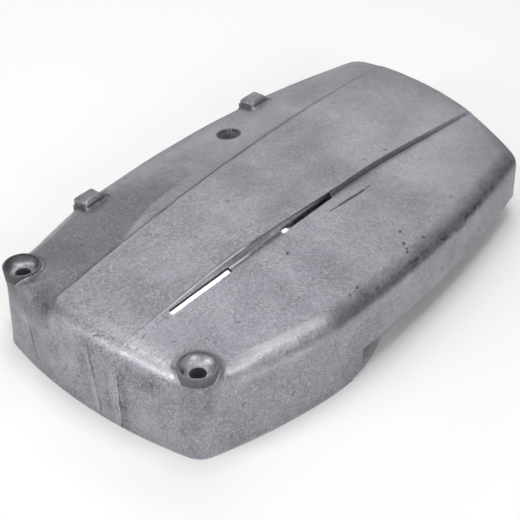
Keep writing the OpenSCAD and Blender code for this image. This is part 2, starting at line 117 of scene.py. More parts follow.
# Broad lighter and darker patches of the skin, as a run of points, its reach and its share. Those marked below are
# painted light and painted shade
PALE = [
    ([(47.5, 30.5, 36), (50, 31, 36)], 9, 0.7),
    ([(30, -4, 40), (42, -8, 40)], 12, 0.5),
    ([(164, -36, 36), (176, -32, 36), (208, -16, 34)], 30, 0.9),
    ([(158, -6, 38), (205, 4, 36)], 26, 0.6),
    ([(52, 62, 33), (90, 63, 33), (130, 58, 33)], 10, 0.6),
    ([(-9.3, 37.2, 27), (-9.8, 36.4, 22)], 6, 0.6),
    # Painted light on the tongue between the end wall's folds
    ([(-12.4, -12.2, 28), (-13.4, -15.6, 16), (-13.7, -16.6, 2)], 3.2, 0.7),
    ([(-10.5, 4.0, 34), (-10.9, 8.0, 31)], 8, 0.5),
    # Painted light beside the crack in the end wall, on the step's lit side
    ([(-12.9, -1.8, 29), (-13.5, -3.8, 18), (-13.9, -5.8, 4)], 2.6, 0.7),
    # Painted light on the upper wall of the lug side bowl
    ([(2.0, 51.6, 36), (4.6, 48.6, 36)], 3.2, 0.8),
]
DARK = [
    ([(14, -12, 40), (72, -13, 41), (132, -10, 40)], 15, 0.55),
    ([(80, -30, 38), (72, -62, 36)], 16, 0.4),
    ([(186, 50, 33), (214, 44, 33)], 14, 0.4),
    # Painted shade on the end wall under the slot side boss
    ([(-8.0, -50.0, 31), (-8.5, -51.0, 16)], 8, 0.8),
    ([(-4.1, -53.9, 32), (-5.0, -54.0, 22)], 7, 1.0),
    # Painted shadow beside the step of the tongue in the end wall
    ([(-13.0, -20.0, 27), (-13.7, -20.6, 14), (-14.0, -21.0, 2)], 3.6, 0.9),
    # Painted shade on the end wall under the rolled edge
    ([(-12.0, -24.0, 29), (-11.0, -33.0, 28)], 7, 0.9),
    ([(-13.5, -1.0, 30), (-13.8, 0.0, 8)], 8, 0.4),
    ([(-12.6, -12.0, 30), (-13.4, -12.4, 14)], 3, 0.4),
]
# Thin painted highlights, as a run of points, half its width and its share: beside the end wall's folds, in the bowl
# over each end screw and on the wall of the third screw's recess
GLINTS = [
    ([(-12.8, -16.4, 28), (-13.4, -17.4, 16), (-13.8, -18.2, 3)], 0.8, 0.7),
    ([(-12.6, -4.4, 29), (-13.3, -5.9, 20), (-13.7, -7.2, 9)], 0.7, 0.4),
    ([(1.0, -41.5, 35.2), (4.3, -43.5, 35.2), (5.6, -47.0, 35.2)], 2.2, 0.55),
    ([(1.6, -41.9, 34.6), (1.9, -41.6, 37.6)], 0.9, 0.95),
    ([(4.2, -43.4, 34.6), (4.9, -43.0, 37.6)], 0.8, 0.8),
    ([(1.0, 52.5, 35.2), (4.3, 50.5, 35.2), (5.6, 47.0, 35.2)], 2.4, 0.55),
    ([(135.5, 54.4, 32.6), (135.5, 54.4, 36.2)], 0.9, 1.0),
    ([(136.4, 53.2, 32.9), (136.4, 53.2, 36.3)], 0.8, 1.0),
]


def linear(hex_colour):
    """An sRGB colour such as "9DA0A6" as linear red, green, blue."""
    parts = [int(hex_colour[i : i + 2], 16) / 255 for i in (0, 2, 4)]
    return tuple(c / 12.92 if c <= 0.04045 else ((c + 0.055) / 1.055) ** 2.4 for c in parts)


def length(name, description, default):
    """A size whose default is given in mm."""
    return FloatProperty(
        name=name, description=description, default=default * MM, min=0, precision=5, subtype="DISTANCE",
        unit="LENGTH")


def colour(name, description, hex_colour):
    """A colour whose default is given in sRGB, such as "9DA0A6"."""
    return FloatVectorProperty(
        name=name, description=description, default=linear(hex_colour), size=3, min=0, max=1, subtype="COLOR")


class CoverCasting(bpy.types.PropertyGroup):
    """Sizes of the cast skin's relief."""

    skin_step: length("Skin step", "Distance between points of the skin", 1.25)
    fillet: length("Fillet", "Radius of the cast fillet round bosses and lugs", 2.4)
    swell_height: length("Swell height", "Depth of the skin's broad unevenness", 0.22)
    swell_size: length("Swell size", "Width of one swell", 26)
    ripple_height: length("Ripple height", "Depth of the skin's small unevenness", 0.07)
    ripple_size: length("Ripple size", "Width of one ripple", 5)
    fold_depth: length("Fold depth", "Depth of the cold folds", 0.3)
    fold_width: length("Fold width", "Half width of the cold folds", 0.55)
    pit_radius: length("Pit radius", "Radius of the pits", 0.9)
    pit_depth: length("Pit depth", "Depth of the pits", 0.25)
    pit_spacing: length("Pit spacing", "Least distance between pits", 14)
    lip_height: length("Lip height", "Height of the burr along the slot side edge of the band", 0.3)
    seed: IntProperty(name="Seed", description="Seed of the pits", default=4, min=0)


class CoverFinish(bpy.types.PropertyGroup):
    """Colours and gloss of the metal."""

    bare: colour("Bare metal", "Raw cast skin", "C2C2CA")
    # Stained metal also stands for painted shade, on the end wall and in some darker patches
    stained_and_shaded: colour("Stained metal", "Skin darkened by the mould's wash", "7A7B82")
    oil: colour("Oiled metal", "Skin darkened by old oil", "6F6E71")
    # Bright metal also stands for painted highlights, painted sheen and painted light
    bright: colour("Bright metal", "Rubbed edges", "D4D6DA")
    # Grime also stands for painted shade and a painted dark reflection
    grime_and_shade: colour("Grime", "Dirt in folds and seams", "3A3B3D")
    roughness: FloatProperty(
        name="Roughness", description="Roughness of the raw skin", default=0.52, min=0.05, max=1, subtype="FACTOR")


class CoverStage(bpy.types.PropertyGroup):
    """Floor, light and camera."""

    floor: colour("Floor", "Colour of the floor", "FBFBFA")
    lens: FloatProperty(
        name="Lens", description="Focal length", default=0.07615, min=0.01, precision=5,
        subtype="DISTANCE_CAMERA", unit="CAMERA")
    light: FloatProperty(
        name="Light", description="Power of the overhead light", default=5.94, min=0, unit="POWER")
    under: FloatProperty(
        name="Light below", description="Power of the light under the slots", default=0.011, min=0, unit="POWER")


# Plain helpers


def mix(a, b, t):
    return a + (b - a) * t


def ease(t):
    t = np.clip(t, 0, 1)
    return t * t * (3 - 2 * t)


def unit(a):
    return np.stack([np.cos(a), np.sin(a)], -1)


def angle_of(v):
    return math.atan2(v[1], v[0])


def tan_deg(a):
    return np.tan(np.radians(a))


# Outline: corner circles joined by arcs

HALF_PITCH = SCREW_PITCH / 2
BEND_Y = BEND_HALF_W - BEND_R
CIRCLES = np.array([
    (0, -HALF_PITCH, CORNER_R),
    (BEND_X, -BEND_Y, BEND_R),
    FAR_RIGHT,
    FAR_LEFT,
    (BEND_X, BEND_Y, BEND_R),
    (NEAR_LEFT_X, HALF_PITCH, CORNER_R),
])
N_C = len(CIRCLES)


def side_a(i):
    p, q = CIRCLES[i % N_C], CIRCLES[(i + 1) % N_C]
    v = q[:2] - p[:2]
    return angle_of(v) - math.acos((p[2] - q[2]) / np.hypot(*v))


def turn(i):
    return (side_a(i) - side_a(i - 1)) % TAU


def arc_r(i, a, k):
    """Radius of the arc that leaves corner i in direction a and is tangent inside to corner k."""
    c, q, u = CIRCLES[i], CIRCLES[k], unit(a)
    v = c[:2] + c[2] * u - q[:2]
    return (v @ v - q[2] ** 2) / (2 * (v @ u - q[2]))


LINKS = [
    arc_r(1, side_a(0) + NEAR_BOW * turn(1), 0),
    arc_r(1, side_a(1) - FAR_BOW * turn(1), 2),
    FAR_END_R,
    arc_r(4, side_a(3) + FAR_BOW * turn(4), 3),
    arc_r(4, side_a(4) - NEAR_BOW * turn(4), 5),
    NEAR_END_R,
]


def link_centre(p, q, r):
    v = q[:2] - p[:2]
    g = np.hypot(*v)
    u = v / g
    a, b = r - p[2], r - q[2]
    m = (a * a - b * b + g * g) / (2 * g)
    return p[:2] + m * u + math.sqrt(a * a - m * m) * np.array((-u[1], u[0]))


def after(a, b):
    """Angle a, or a whole turn later where it lies before b."""
    return a + TAU if a < b else a


LINK_C = [link_centre(CIRCLES[i], CIRCLES[(i + 1) % N_C], LINKS[i]) for i in range(N_C)]
A_IN = [angle_of(CIRCLES[i][:2] - LINK_C[i - 1]) for i in range(N_C)]
A_OUT = [after(angle_of(CIRCLES[i][:2] - LINK_C[i]), A_IN[i]) for i in range(N_C)]
LINK_A = [angle_of(CIRCLES[i][:2] - LINK_C[i]) for i in range(N_C)]
LINK_B = [after(angle_of(CIRCLES[(i + 1) % N_C][:2] - LINK_C[i]), LINK_A[i]) for i in range(N_C)]


def stations(x, y, r, a):
    """Places on one arc as rows of centre, radius and direction."""
    a = np.atleast_1d(a)
    return np.stack([np.full_like(a, x), np.full_like(a, y), np.full_like(a, r), a], 1)


def corner_st(i, t):
    return stations(*CIRCLES[i], mix(A_IN[i], A_OUT[i], np.asarray(t, float)))


def link_st(i, t):
    return stations(*LINK_C[i], LINKS[i], mix(LINK_A[i], LINK_B[i], np.asarray(t, float)))


def place(st, d):
    return st[:, :2] + (st[:, 2] - d)[:, None] * unit(st[:, 3])


def link_share(i, y):
    """Share of the way along arc i where the end wall stands at y across the cover."""
    s = np.arcsin((y - LINK_C[i][1]) / (LINKS[i] - ROLL_W))
    w = math.pi - s if abs(LINK_A[i]) > math.pi / 2 else s
    w = np.where(w < LINK_A[i] - math.radians(1), w + TAU, w)
    return (w - LINK_A[i]) / (LINK_B[i] - LINK_A[i])


# Heights of the top, in mm

FULL_LEN = FAR_LEFT[0] + FAR_LEFT[2]


def band_left(x):
    t = x / FULL_LEN
    return mix(BAND_LEFT_NEAR, BAND_LEFT_FAR, t) + BAND_LEFT_BOW * 4 * t * (1 - t)


def slot_line(x):
    return mix(BAND_RIGHT_NEAR, BAND_RIGHT_FAR, ease((x - BAND_SWING_X) / (FULL_LEN - BAND_SWING_X)))


def band_right(x):
    t = np.clip(x / (SLOT_X + SLOT_PITCH + SLOT_LEN), 0, 1)
    return slot_line(x) + BAND_RIGHT_BOW * (4 * t * (1 - t)) ** BOW_FADE


def field_drop(x):
    near = FIELD_STEP * (1 - (1 - np.clip(x / FIELD_STEP_X, 0, 1)) ** 2)
    far = mix(FIELD_STEP, FIELD_STEP_FAR, ease((x - FIELD_FADE_X) / (FULL_LEN - FIELD_FADE_X)))
    return np.where(x < FIELD_STEP_X, near, far)


def z_band(x, y):
    middle = (band_left(x) + band_right(x)) / 2
    return TOP_H - (x - CREST_X) ** 2 / (2 * CROWN_LEN_R) - (y - middle) ** 2 / (2 * CROWN_BAND_R)


def z_strip(x, y):
    edge = band_left(x)
    near_x = LINK_C[5][0] - np.sqrt((NEAR_END_R - ROLL_W) ** 2 - (y - LINK_C[5][1]) ** 2)
    scoop = SCOOP_DEPTH * np.maximum(0, 1 - (x - near_x) / SCOOP_LEN) ** 2 * ease((HALF_PITCH - y) / BOSS_D)
    pad = PAD_H * ease(1 - np.hypot(x, y - HALF_PITCH) / PAD_R)
    step = mix(STRIP_STEP_NEAR, STRIP_STEP_FAR, ease(x / FULL_LEN))
    slope = tan_deg(mix(STRIP_SLOPE_NEAR, STRIP_SLOPE_FAR, ease(x / FULL_LEN)))
    return z_band(x, edge) - step - scoop + pad - (y - edge - RISER_W) * slope


def z_field(x, y):
    edge = slot_line(x)
    return z_band(x, edge) - field_drop(x) - (edge - RISER_W - y) * tan_deg(FIELD_SLOPE)


def z_calm(x, y):
    """The top with its steps smoothed away, which the foot of the rolled edge follows."""
    left = ease((band_left(x) + FADE_W - y) / (2 * FADE_W))
    right = ease((y - band_right(x) + FADE_W) / (2 * FADE_W))
    return mix(z_field(x, y), mix(z_strip(x, y), z_band(x, y), left), right)


def z_top(weights, x, y, lip=0.0):
    """Height under weights for strip, band and field; lip is the burr along the band's slot side edge."""
    rise = mix(BURR_LOW, 1, ease((x - BURR_FULL_X) / BURR_RISE))
    run = ease((x - BURR_START_X) / BURR_RISE) * rise * ease((BURR_STOP_X - x) / BURR_FALL)
    burr = lip * run * np.exp(-(((y - band_right(x) - BURR_INSET) / BURR_W) ** 2))
    return weights[..., 0] * z_strip(x, y) + weights[..., 1] * (z_band(x, y) + burr) + weights[..., 2] * z_field(x, y)


# Skin: rings up the wall and over the rolled edge, then a grid across the top

# Lengths in mm of the stretches that rows and columns divide, and the share of the band before its burr
STRETCHES = {"corner": 8, "strip": 30, "field": 32, "near_side": 58, "bend": 26, "far_side": 130}
BAND_STRETCH, BURR_FROM = 42, 0.94


def steps(n):
    return np.arange(1, n + 1) / n


def layout(n):
    """Stations of the four sides and the columns' weights, for the counts in n."""
    def end_row(link, corner_a, corner_b, start, ly, ry):
        hand = 1 if start == 0 else -1
        turn_in = 0.5 + hand * 0.5 * np.arange(n.corner) / n.corner
        turn_out = (0 if start == 0 else 1) + hand * 0.5 * steps(n.corner)
        foot_l, foot_r = ly + RISER_W, ry - RISER_W
        share = lambda y: link_share(link, y)
        return np.concatenate([
            corner_st(corner_a, turn_in),
            link_st(link, mix(start, share(foot_l), np.arange(n.strip + 1) / n.strip)),
            link_st(link, share(mix(foot_l, ly, steps(n.riser)))),
            link_st(link, mix(share(ly), share(ry), n.band_steps)),
            link_st(link, share(mix(ry, foot_r, steps(n.riser)))),
            link_st(link, mix(share(foot_r), 1 - start, steps(n.field))),
            corner_st(corner_b, turn_out),
        ])

    def side(order, flip):
        c0, l0, c1, l1, c2 = order
        at = lambda t: 1 - t if flip else t
        k = np.arange(n.corner + 1) / n.corner
        return np.concatenate([
            corner_st(c0, 0.5 - 0.5 * k if flip else 0.5 + 0.5 * k),
            link_st(l0, at(steps(n.near_side))),
            corner_st(c1, at(steps(n.bend))),
            link_st(l1, at(steps(n.far_side))),
            corner_st(c2, at(0.5 * steps(n.corner))),
        ])

    far_l = band_left(far_x(BAND_LEFT_FAR))
    far_r = band_right(far_x(BAND_RIGHT_FAR))
    near = end_row(5, 5, 0, 0, band_left(0.0), float(band_right(0.0)))
    far = end_row(2, 3, 2, 1, far_l, float(far_r))
    right = side((0, 0, 1, 1, 2), False)
    left = side((5, 4, 4, 3, 3), True)
    rise = steps(n.riser)
    n_side, n_band = n.corner + n.strip + 1, len(n.band_steps)
    weights = np.concatenate([
        np.tile((1.0, 0.0, 0.0), (n_side, 1)),
        np.stack([1 - rise, rise, 0 * rise], 1),
        np.tile((0.0, 1.0, 0.0), (n_band, 1)),
        np.stack([0 * rise, 1 - rise, rise], 1),
        np.tile((0.0, 0.0, 1.0), (n.field + n.corner, 1)),
    ])
    marks = np.cumsum([n_side - 1, n.riser, n_band, n.riser, n.field + n.corner])
    return SimpleNamespace(near=near, far=far, left=left, right=right, weights=weights, marks=marks)


def far_x(y):
    return LINK_C[2][0] + math.sqrt((FAR_END_R - ROLL_W) ** 2 - (y - LINK_C[2][1]) ** 2)


def counts(step, wall, roll, riser, lip_steps):
    """How many steps each stretch gets at about this spacing in mm."""
    number = lambda size: max(2, round(size / step))
    band = steps(number(BAND_STRETCH))
    if lip_steps:
        band = np.concatenate([band[band < BURR_FROM], mix(BURR_FROM, 1, steps(lip_steps))])
    sides = {name: number(size) for name, size in STRETCHES.items()}
    return SimpleNamespace(**sides, wall=wall, roll=roll, riser=riser, band_steps=band)


def skin(n, inset, drop, foot_z, edge_w, lip=0.0):
    """Points and faces of a closed form under the top, inset from the outline and lowered by drop."""
    g = layout(n)
    n_cols, n_rows = len(g.near) - 1, len(g.left) - 1
    d_in, lean = inset + edge_w, math.tan(WALL_DRAFT)
    ring = np.concatenate([g.near[:-1], g.right[:-1], g.far[:0:-1], g.left[:0:-1]])
    w = g.weights
    ring_w = np.concatenate([w[:-1], np.tile(w[-1], (n_rows, 1)), w[:0:-1], np.tile(w[0], (n_rows, 1))])
    n_edge = len(ring)
    p, q = place(ring, d_in), place(ring, d_in + PROBE)
    z1 = z_top(ring_w, p[:, 0], p[:, 1], lip) - drop
    z2 = z_top(ring_w, q[:, 0], q[:, 1], lip) - drop
    z0 = z_calm(p[:, 0], p[:, 1]) - drop
    s = np.maximum(0, np.arctan((z2 - z1) / PROBE))
    r = (edge_w - z0 * lean) / (1 / math.cos(WALL_DRAFT) - np.sin(s) - np.cos(s) * lean)
    rings = []
    for k in range(n.roll + 1):
        a = mix(WALL_DRAFT, math.pi / 2 - s, k / n.roll)
        z = z0 - r * np.cos(s) + r * np.sin(a) + (z1 - z0) * (k / n.roll) ** 2
        level = place(ring, inset + edge_w + r * np.sin(s) - r * np.cos(a))
        rings.append(np.column_stack([level, z]))
    foot = np.column_stack([place(ring, inset + foot_z * lean), np.full(n_edge, foot_z)])
    walls = [mix(foot, rings[0], k / n.wall) for k in range(n.wall)]
    rings = walls + rings

    at = lambda st: place(st, d_in)
    near, far, left, right = at(g.near), at(g.far), at(g.left), at(g.right)
    row_x = (left[:, 0] + right[:, 0]) / 2
    t = (row_x - row_x[0]) / (row_x[-1] - row_x[0])
    m = g.marks

    def edge_line(c, across):
        x = mix(near[c, 0], far[c, 0], t)
        return np.stack([x, across(x)], 1)

    foot_l = edge_line(m[0], lambda x: band_left(x) + RISER_W)
    edge_l = edge_line(m[1], band_left)
    edge_r = edge_line(m[2], band_right)
    foot_r = edge_line(m[3], lambda x: slot_line(x) - RISER_W)
    lanes = [
        (left, foot_l, np.arange(m[0] + 1) / m[0]),
        (foot_l, edge_l, steps(n.riser)),
        (edge_l, edge_r, n.band_steps),
        (edge_r, foot_r, steps(n.riser)),
        (foot_r, right, steps(n.field + n.corner)),
    ]
    flat = np.concatenate([mix(a[:, None], b[:, None], u[None, :, None]) for a, b, u in lanes], 1)
    fade_n, fade_f = ((1 - t) ** END_FADE)[:, None, None], (t**END_FADE)[:, None, None]
    flat = flat + fade_n * (near - flat[0]) + fade_f * (far - flat[-1])
    z = z_top(w[None], flat[..., 0], flat[..., 1], lip) - drop
    inner = np.concatenate([flat, z[..., None]], 2)[1:-1, 1:-1]

    verts = np.concatenate([*rings, inner.reshape(-1, 3)])
    n_rings = len(rings)
    top0, first = (n_rings - 1) * n_edge, n_rings * n_edge
    no = np.zeros((n_rows + 1, n_cols + 1), int)
    no[1:-1, 1:-1] = first + np.arange((n_rows - 1) * (n_cols - 1)).reshape(n_rows - 1, n_cols - 1)
    around = top0 + np.arange(n_edge)
    no[0, :-1] = around[:n_cols]
    no[:-1, -1] = around[n_cols : n_cols + n_rows]
    no[-1, :0:-1] = around[n_cols + n_rows : 2 * n_cols + n_rows]
    no[:0:-1, 0] = around[2 * n_cols + n_rows :]
    here, after_it = np.arange(n_edge), (np.arange(n_edge) + 1) % n_edge
    up = [np.stack([here, after_it, after_it + n_edge, here + n_edge], 1) + k * n_edge for k in range(n_rings - 1)]
    top = np.stack([no[:-1, :-1], no[:-1, 1:], no[1:, 1:], no[1:, :-1]], -1).reshape(-1, 4)
    faces = [list(range(n_edge - 1, -1, -1))] + np.concatenate([*up, top]).tolist()
    return verts, faces


def side_y(x):
    """Lug side of the outline at a place along the cover."""
    for c, r, end in ((LINK_C[4], LINKS[4], corner_st(4, 1)), (CIRCLES[4][:2], BEND_R, corner_st(4, 0))):
        if x < place(end, 0)[0, 0]:
            break
    else:
        c, r = LINK_C[3], LINKS[3]
    return c[1] + math.sqrt(r * r - (x - c[0]) ** 2)


THIRD_Y = side_y(THIRD_X) - THIRD_INSET
LUGS = []
for lug_x in (LUG_X, LUG_X + LUG_PITCH):
    lug_y = side_y(lug_x) - LUG_INSET - LUG_W / 2
    LUGS.append((lug_x, lug_y, float(z_strip(lug_x, lug_y)) - ROLL_W))


# Mesh helpers


@contextmanager
def opened(obj):
    """The object's mesh as a bmesh, which is written back at the end."""
    bm = bmesh.new()
    bm.from_mesh(obj.data)
    yield bm
    bm.to_mesh(obj.data)
    bm.free()


def mesh_object(name, verts, faces):
    """A new object from points in mm, with its faces outwards."""
    mesh = bpy.data.meshes.new(name)
    mesh.from_pydata((np.asarray(verts) * MM).tolist(), [], faces)
    obj = bpy.data.objects.new(name, mesh)
    bpy.context.scene.collection.objects.link(obj)
    with opened(obj) as bm:
        bmesh.ops.recalc_face_normals(bm, faces=bm.faces)
        if bm.calc_volume(signed=True) < 0:
            bmesh.ops.reverse_faces(bm, faces=bm.faces)
    return obj


def lathe(name, profile, x, y, segments=ROUND_FACES):
    """A closed turned form round an upright line, from radius and height pairs that start and end on it."""
    body = np.array(profile[1:-1], float)
    a = TAU * np.arange(segments) / segments
    verts = [(x + r * math.cos(t), y + r * math.sin(t), z) for r, z in body for t in a]
    verts += [(x, y, profile[0][1]), (x, y, profile[-1][1])]
    low, high, last = len(verts) - 2, len(verts) - 1, (len(body) - 1) * segments
    faces = []
    for i in range(segments):
        j = (i + 1) % segments
        faces += [(k + i, k + j, k + segments + j, k + segments + i) for k in range(0, last, segments)]
        faces += [(low, j, i), (high, last + i, last + j)]
    return mesh_object(name, verts, faces)


def cylinder(name, x, y, r, low, high, segments=ROUND_FACES):
    return lathe(name, [(0, low), (r, low), (r, high), (0, high)], x, y, segments)


def block(name, lo, hi):
    xs, ys, zs = zip(lo, hi)
    verts = [(x, y, z) for z in zs for y in ys for x in xs]
    faces = [(0, 2, 3, 1), (4, 5, 7, 6), (0, 1, 5, 4), (2, 6, 7, 3), (0, 4, 6, 2), (1, 3, 7, 5)]
    return mesh_object(name, verts, faces)


def plain_mesh(obj):
    """Turns the object's modifiers into its mesh."""
    graph = bpy.context.evaluated_depsgraph_get()
    mesh = bpy.data.meshes.new_from_object(obj.evaluated_get(graph))
    old = obj.data
    obj.modifiers.clear()
    obj.data = mesh
    bpy.data.meshes.remove(old)


def discard(obj):
    """Removes an object and its mesh."""
    mesh = obj.data
    bpy.data.objects.remove(obj)
    bpy.data.meshes.remove(mesh)


def combine(obj, tool, operation):
    """Adds, cuts or keeps with the tool, which is then removed."""
    cut = obj.modifiers.new("combine", "BOOLEAN")
    cut.operation, cut.solver, cut.object = operation, "MANIFOLD", tool
    plain_mesh(obj)
    discard(tool)


def points_and_normals(mesh):
    """Places in mm and directions of the mesh's points."""
    pair = []
    for data, name in ((mesh.vertices, "co"), (mesh.vertex_normals, "vector")):
        values = np.empty(len(data) * 3)
        data.foreach_get(name, values)
        pair.append(values.reshape(-1, 3))
    return pair[0] / MM, pair[1]


# Nodes, and the relief of the cast skin

# Most of a noise pattern lies between these
NOISE_LOW, NOISE_HIGH = 0.3, 0.7
# Heights in metres over which the foot's plain stretch ends, and the most pits on a square metre
FOOT_FREE, MOST_PITS = (0.2 * MM, 3 * MM), 3000.0


def add(tree, kind, *links, **settings):
    """Adds a node. Links are (input, value) pairs of a node, socket or constant; settings are its own."""
    node = tree.nodes.new(kind)
    for key, value in settings.items():
        setattr(node, key, value)
    for key, value in links:
        value = value.outputs[0] if isinstance(value, bpy.types.Node) else value
        if isinstance(value, bpy.types.NodeSocket):
            tree.links.new(value, node.inputs[key])
        else:
            node.inputs[key].default_value = value
    return node


def formula(tree, operation, *parts):
    """Joins parts one after the other by an operation. A part is a number, node or socket, or else
    (value, low, high), a share that rises softly from 0 at low to 1 at high, or
    (value, low, high, first, last), a number that runs straight from first to last."""
    made = []
    for part in parts:
        if isinstance(part, tuple):
            value, low, high, *ends = part
            way = {} if ends else {"interpolation_type": "SMOOTHSTEP"}
            part = add(tree, "ShaderNodeMapRange", ("Value", value), ("From Min", low), ("From Max", high),
                       *zip(("To Min", "To Max"), ends), **way)
        made.append(part)
    out = made[0]
    for more in made[1:]:
        out = add(tree, "ShaderNodeMath", (0, out), (1, more), operation=operation)
    return out


def relief_tree():
    """A node tree that sinks swells, ripples, cold folds and pits into a skin, and leaves its foot alone."""
    tree = bpy.data.node_groups.new("cast_relief", "GeometryNodeTree")
    face = tree.interface
    face.new_socket("Geometry", in_out="OUTPUT", socket_type="NodeSocketGeometry")
    face.new_socket("Geometry", in_out="INPUT", socket_type="NodeSocketGeometry")
    for name in ("Swell height", "Swell size", "Ripple height", "Ripple size", "Fold depth", "Fold width",
                 "Pit radius", "Pit depth", "Pit spacing"):
        face.new_socket(name, in_out="INPUT", socket_type="NodeSocketFloat")
    for name, kind in (("Seed", "Int"), ("Folds", "Object"), ("Material", "Material")):
        face.new_socket(name, in_out="INPUT", socket_type=f"NodeSocket{kind}")
    given = add(tree, "NodeGroupInput").outputs
    place_in = add(tree, "GeometryNodeInputPosition")
    facing = add(tree, "GeometryNodeInputNormal")

    def uneven(size, height, detail):
        scale = formula(tree, "DIVIDE", 1.0, given[size])
        noise = add(tree, "ShaderNodeTexNoise", ("Vector", place_in), ("Scale", scale), ("Detail", detail))
        return formula(tree, "MULTIPLY", (noise, NOISE_HIGH, NOISE_LOW, 0, 1), given[height])

    def sunk(geometry, target, radius, depth):
        near = add(tree, "GeometryNodeProximity", ("Geometry", geometry), ("Sample Position", place_in),
                   target_element=target).outputs["Distance"]
        return formula(tree, "MULTIPLY", (near, given[radius], 0.0), given[depth])

    folds = add(tree, "GeometryNodeObjectInfo", ("Object", given["Folds"])).outputs["Geometry"]
    pits = add(tree, "GeometryNodeDistributePointsOnFaces", ("Mesh", given["Geometry"]),
               ("Distance Min", given["Pit spacing"]), ("Density Max", MOST_PITS), ("Seed", given["Seed"]),
               distribute_method="POISSON").outputs["Points"]
    depth = formula(
        tree, "ADD",
        uneven("Swell size", "Swell height", 1.0),
        uneven("Ripple size", "Ripple height", 2.0),
        sunk(folds, "EDGES", "Fold width", "Fold depth"),
        sunk(pits, "POINTS", "Pit radius", "Pit depth"),
    )
    height = add(tree, "ShaderNodeSeparateXYZ", (0, place_in)).outputs["Z"]
    depth = formula(tree, "MULTIPLY", depth, (height, *FOOT_FREE, 0, 1), -1.0)
    inwards = add(tree, "ShaderNodeVectorMath", (0, facing), ("Scale", depth), operation="SCALE")
    moved = add(tree, "GeometryNodeSetPosition", ("Geometry", given["Geometry"]), ("Offset", inwards))
    real = add(tree, "GeometryNodeRealizeInstances", ("Geometry", moved))
    dressed = add(tree, "GeometryNodeSetMaterial", ("Geometry", real), ("Material", given["Material"]))
    add(tree, "NodeGroupOutput", (0, dressed))
    return tree


def sink_relief(obj, sizes, metal):
    """Runs the relief tree on the skin and keeps the result as a plain mesh."""
    points, edges = [], []
    for run in FOLDS:
        edges += [(len(points) + i, len(points) + i + 1) for i in range(len(run) - 1)]
        points += run
    lines = bpy.data.meshes.new("fold_lines")
    lines.from_pydata((np.array(points) * MM).tolist(), edges, [])
    guide = bpy.data.objects.new("fold_lines", lines)
    bpy.context.scene.collection.objects.link(guide)
    mod = obj.modifiers.new("cast_relief", "NODES")
    mod.node_group = relief_tree()
    values = {"Folds": guide, "Material": metal}
    for item in mod.node_group.interface.items_tree:
        if item.in_out == "INPUT" and item.name != "Geometry":
            size = item.name.lower().replace(" ", "_")
            mod[item.identifier] = values[item.name] if item.name in values else getattr(sizes, size)
    plain_mesh(obj)
    discard(guide)


# The casting

# How far a face has to look up to take a fillet, and how far in mm below their tops a boss's fillet starts
# and the boss's and the lug's end
FLAT_FROM, FLAT_SPAN = 0.25, 0.4
BOSS_SEAM_LOW, BOSS_SEAM_TOP, LUG_SEAM_TOP = 14, 0.5, 1
# Where the skin is made finer: the end wall behind an x and under a height, and over another height whatever
# lies near a boss or a lug
END_WALL_X, END_WALL_TOP, UPPER_SKIN, BY_BOSS, BY_LUG = -6, 40, 24, 13, 4
# Soft edges of a lug and a boss, a bowl's turn up to its rim and its flare there
LUG_SOFT, BOSS_LIP, BOWL_TURN, BOWL_FLARE = 0.45, 0.25, math.pi / 2 * 0.94, 0.3
# How far the ribs start inside the chamber's wall, and how far they reach past the cover's end
RIB_BITE, RIB_PAST = 0.5, 20
# How near in mm a point counts as on a height, as another point, and as an edge of no length
LEVEL, SAME, NO_LENGTH = 0.1, 0.02, 0.01
SHARP_ANGLE = math.radians(38)


def soften_seams(obj, radius):
    """Raises the skin into a hollow fillet where a boss or a lug stands on it."""
    co, normal = points_and_normals(obj.data)
    rise = np.zeros(len(co))

    def raise_round(offset, gap, floor, ceiling):
        away = offset / np.maximum(np.linalg.norm(offset, axis=1), 1e-6)[:, None]
        flush = (1 - np.abs((normal[:, :2] * away).sum(1))) * ease((normal[:, 2] - FLAT_FROM) / FLAT_SPAN)
        c = np.clip(gap, 0, radius)
        up = (radius - np.sqrt(radius**2 - (radius - c) ** 2)) * flush * (co[:, 2] > floor)
        up = np.minimum(up, np.maximum(0, ceiling - co[:, 2]))
        np.maximum(rise, up, out=rise)

    for s in (-1, 1):
        offset = co[:, :2] - (0, s * HALF_PITCH)
        raise_round(offset, np.hypot(*offset.T) - BOSS_D / 2, BOSS_H - BOSS_SEAM_LOW, BOSS_H - BOSS_SEAM_TOP)
    for x, y, foot in LUGS:
        from_side = co[:, :2] - (x, y)
        q = np.abs(from_side) - (LUG_LEN / 2, LUG_W / 2)
        gap = np.hypot(*np.maximum(q, 0).T) + np.minimum(q.max(1), 0)
        raise_round(np.sign(from_side) * np.maximum(q, 0), gap, foot, foot + ROLL_W + LUG_H - LUG_SEAM_TOP)
    co += normal * rise[:, None]
    obj.data.vertices.foreach_set("co", (co * MM).ravel())
    obj.data.update()


def refine(obj, chosen):
    """Halves the edges of the faces whose middle, in mm, is chosen."""
    with opened(obj) as bm:
        faces = [f for f in bm.faces if len(f.verts) == 4 and chosen(f.calc_center_median() / MM)]
        edges = {e for f in faces for e in f.edges}
        bmesh.ops.subdivide_edges(bm, edges=list(edges), cuts=1, use_grid_fill=True)
        # Triangles for the halved faces' neighbours. The foot's one large face stays
        bmesh.ops.triangulate(bm, faces=[f for f in bm.faces if 4 < len(f.verts) < 12])


def by_end_wall_or_boss(p):
    """Whether a place lies on the end wall, round a boss or round a lug, where the relief is finest."""
    if p.x < END_WALL_X and p.z < END_WALL_TOP:
        return True
    if p.z <= UPPER_SKIN:
        return False
    if any(math.hypot(p.x, p.y - s * HALF_PITCH) < BY_BOSS for s in (-1, 1)):
        return True
    return any(abs(p.x - x) < LUG_LEN / 2 + BY_LUG and abs(p.y - y) < LUG_W / 2 + BY_LUG for x, y, _ in LUGS)


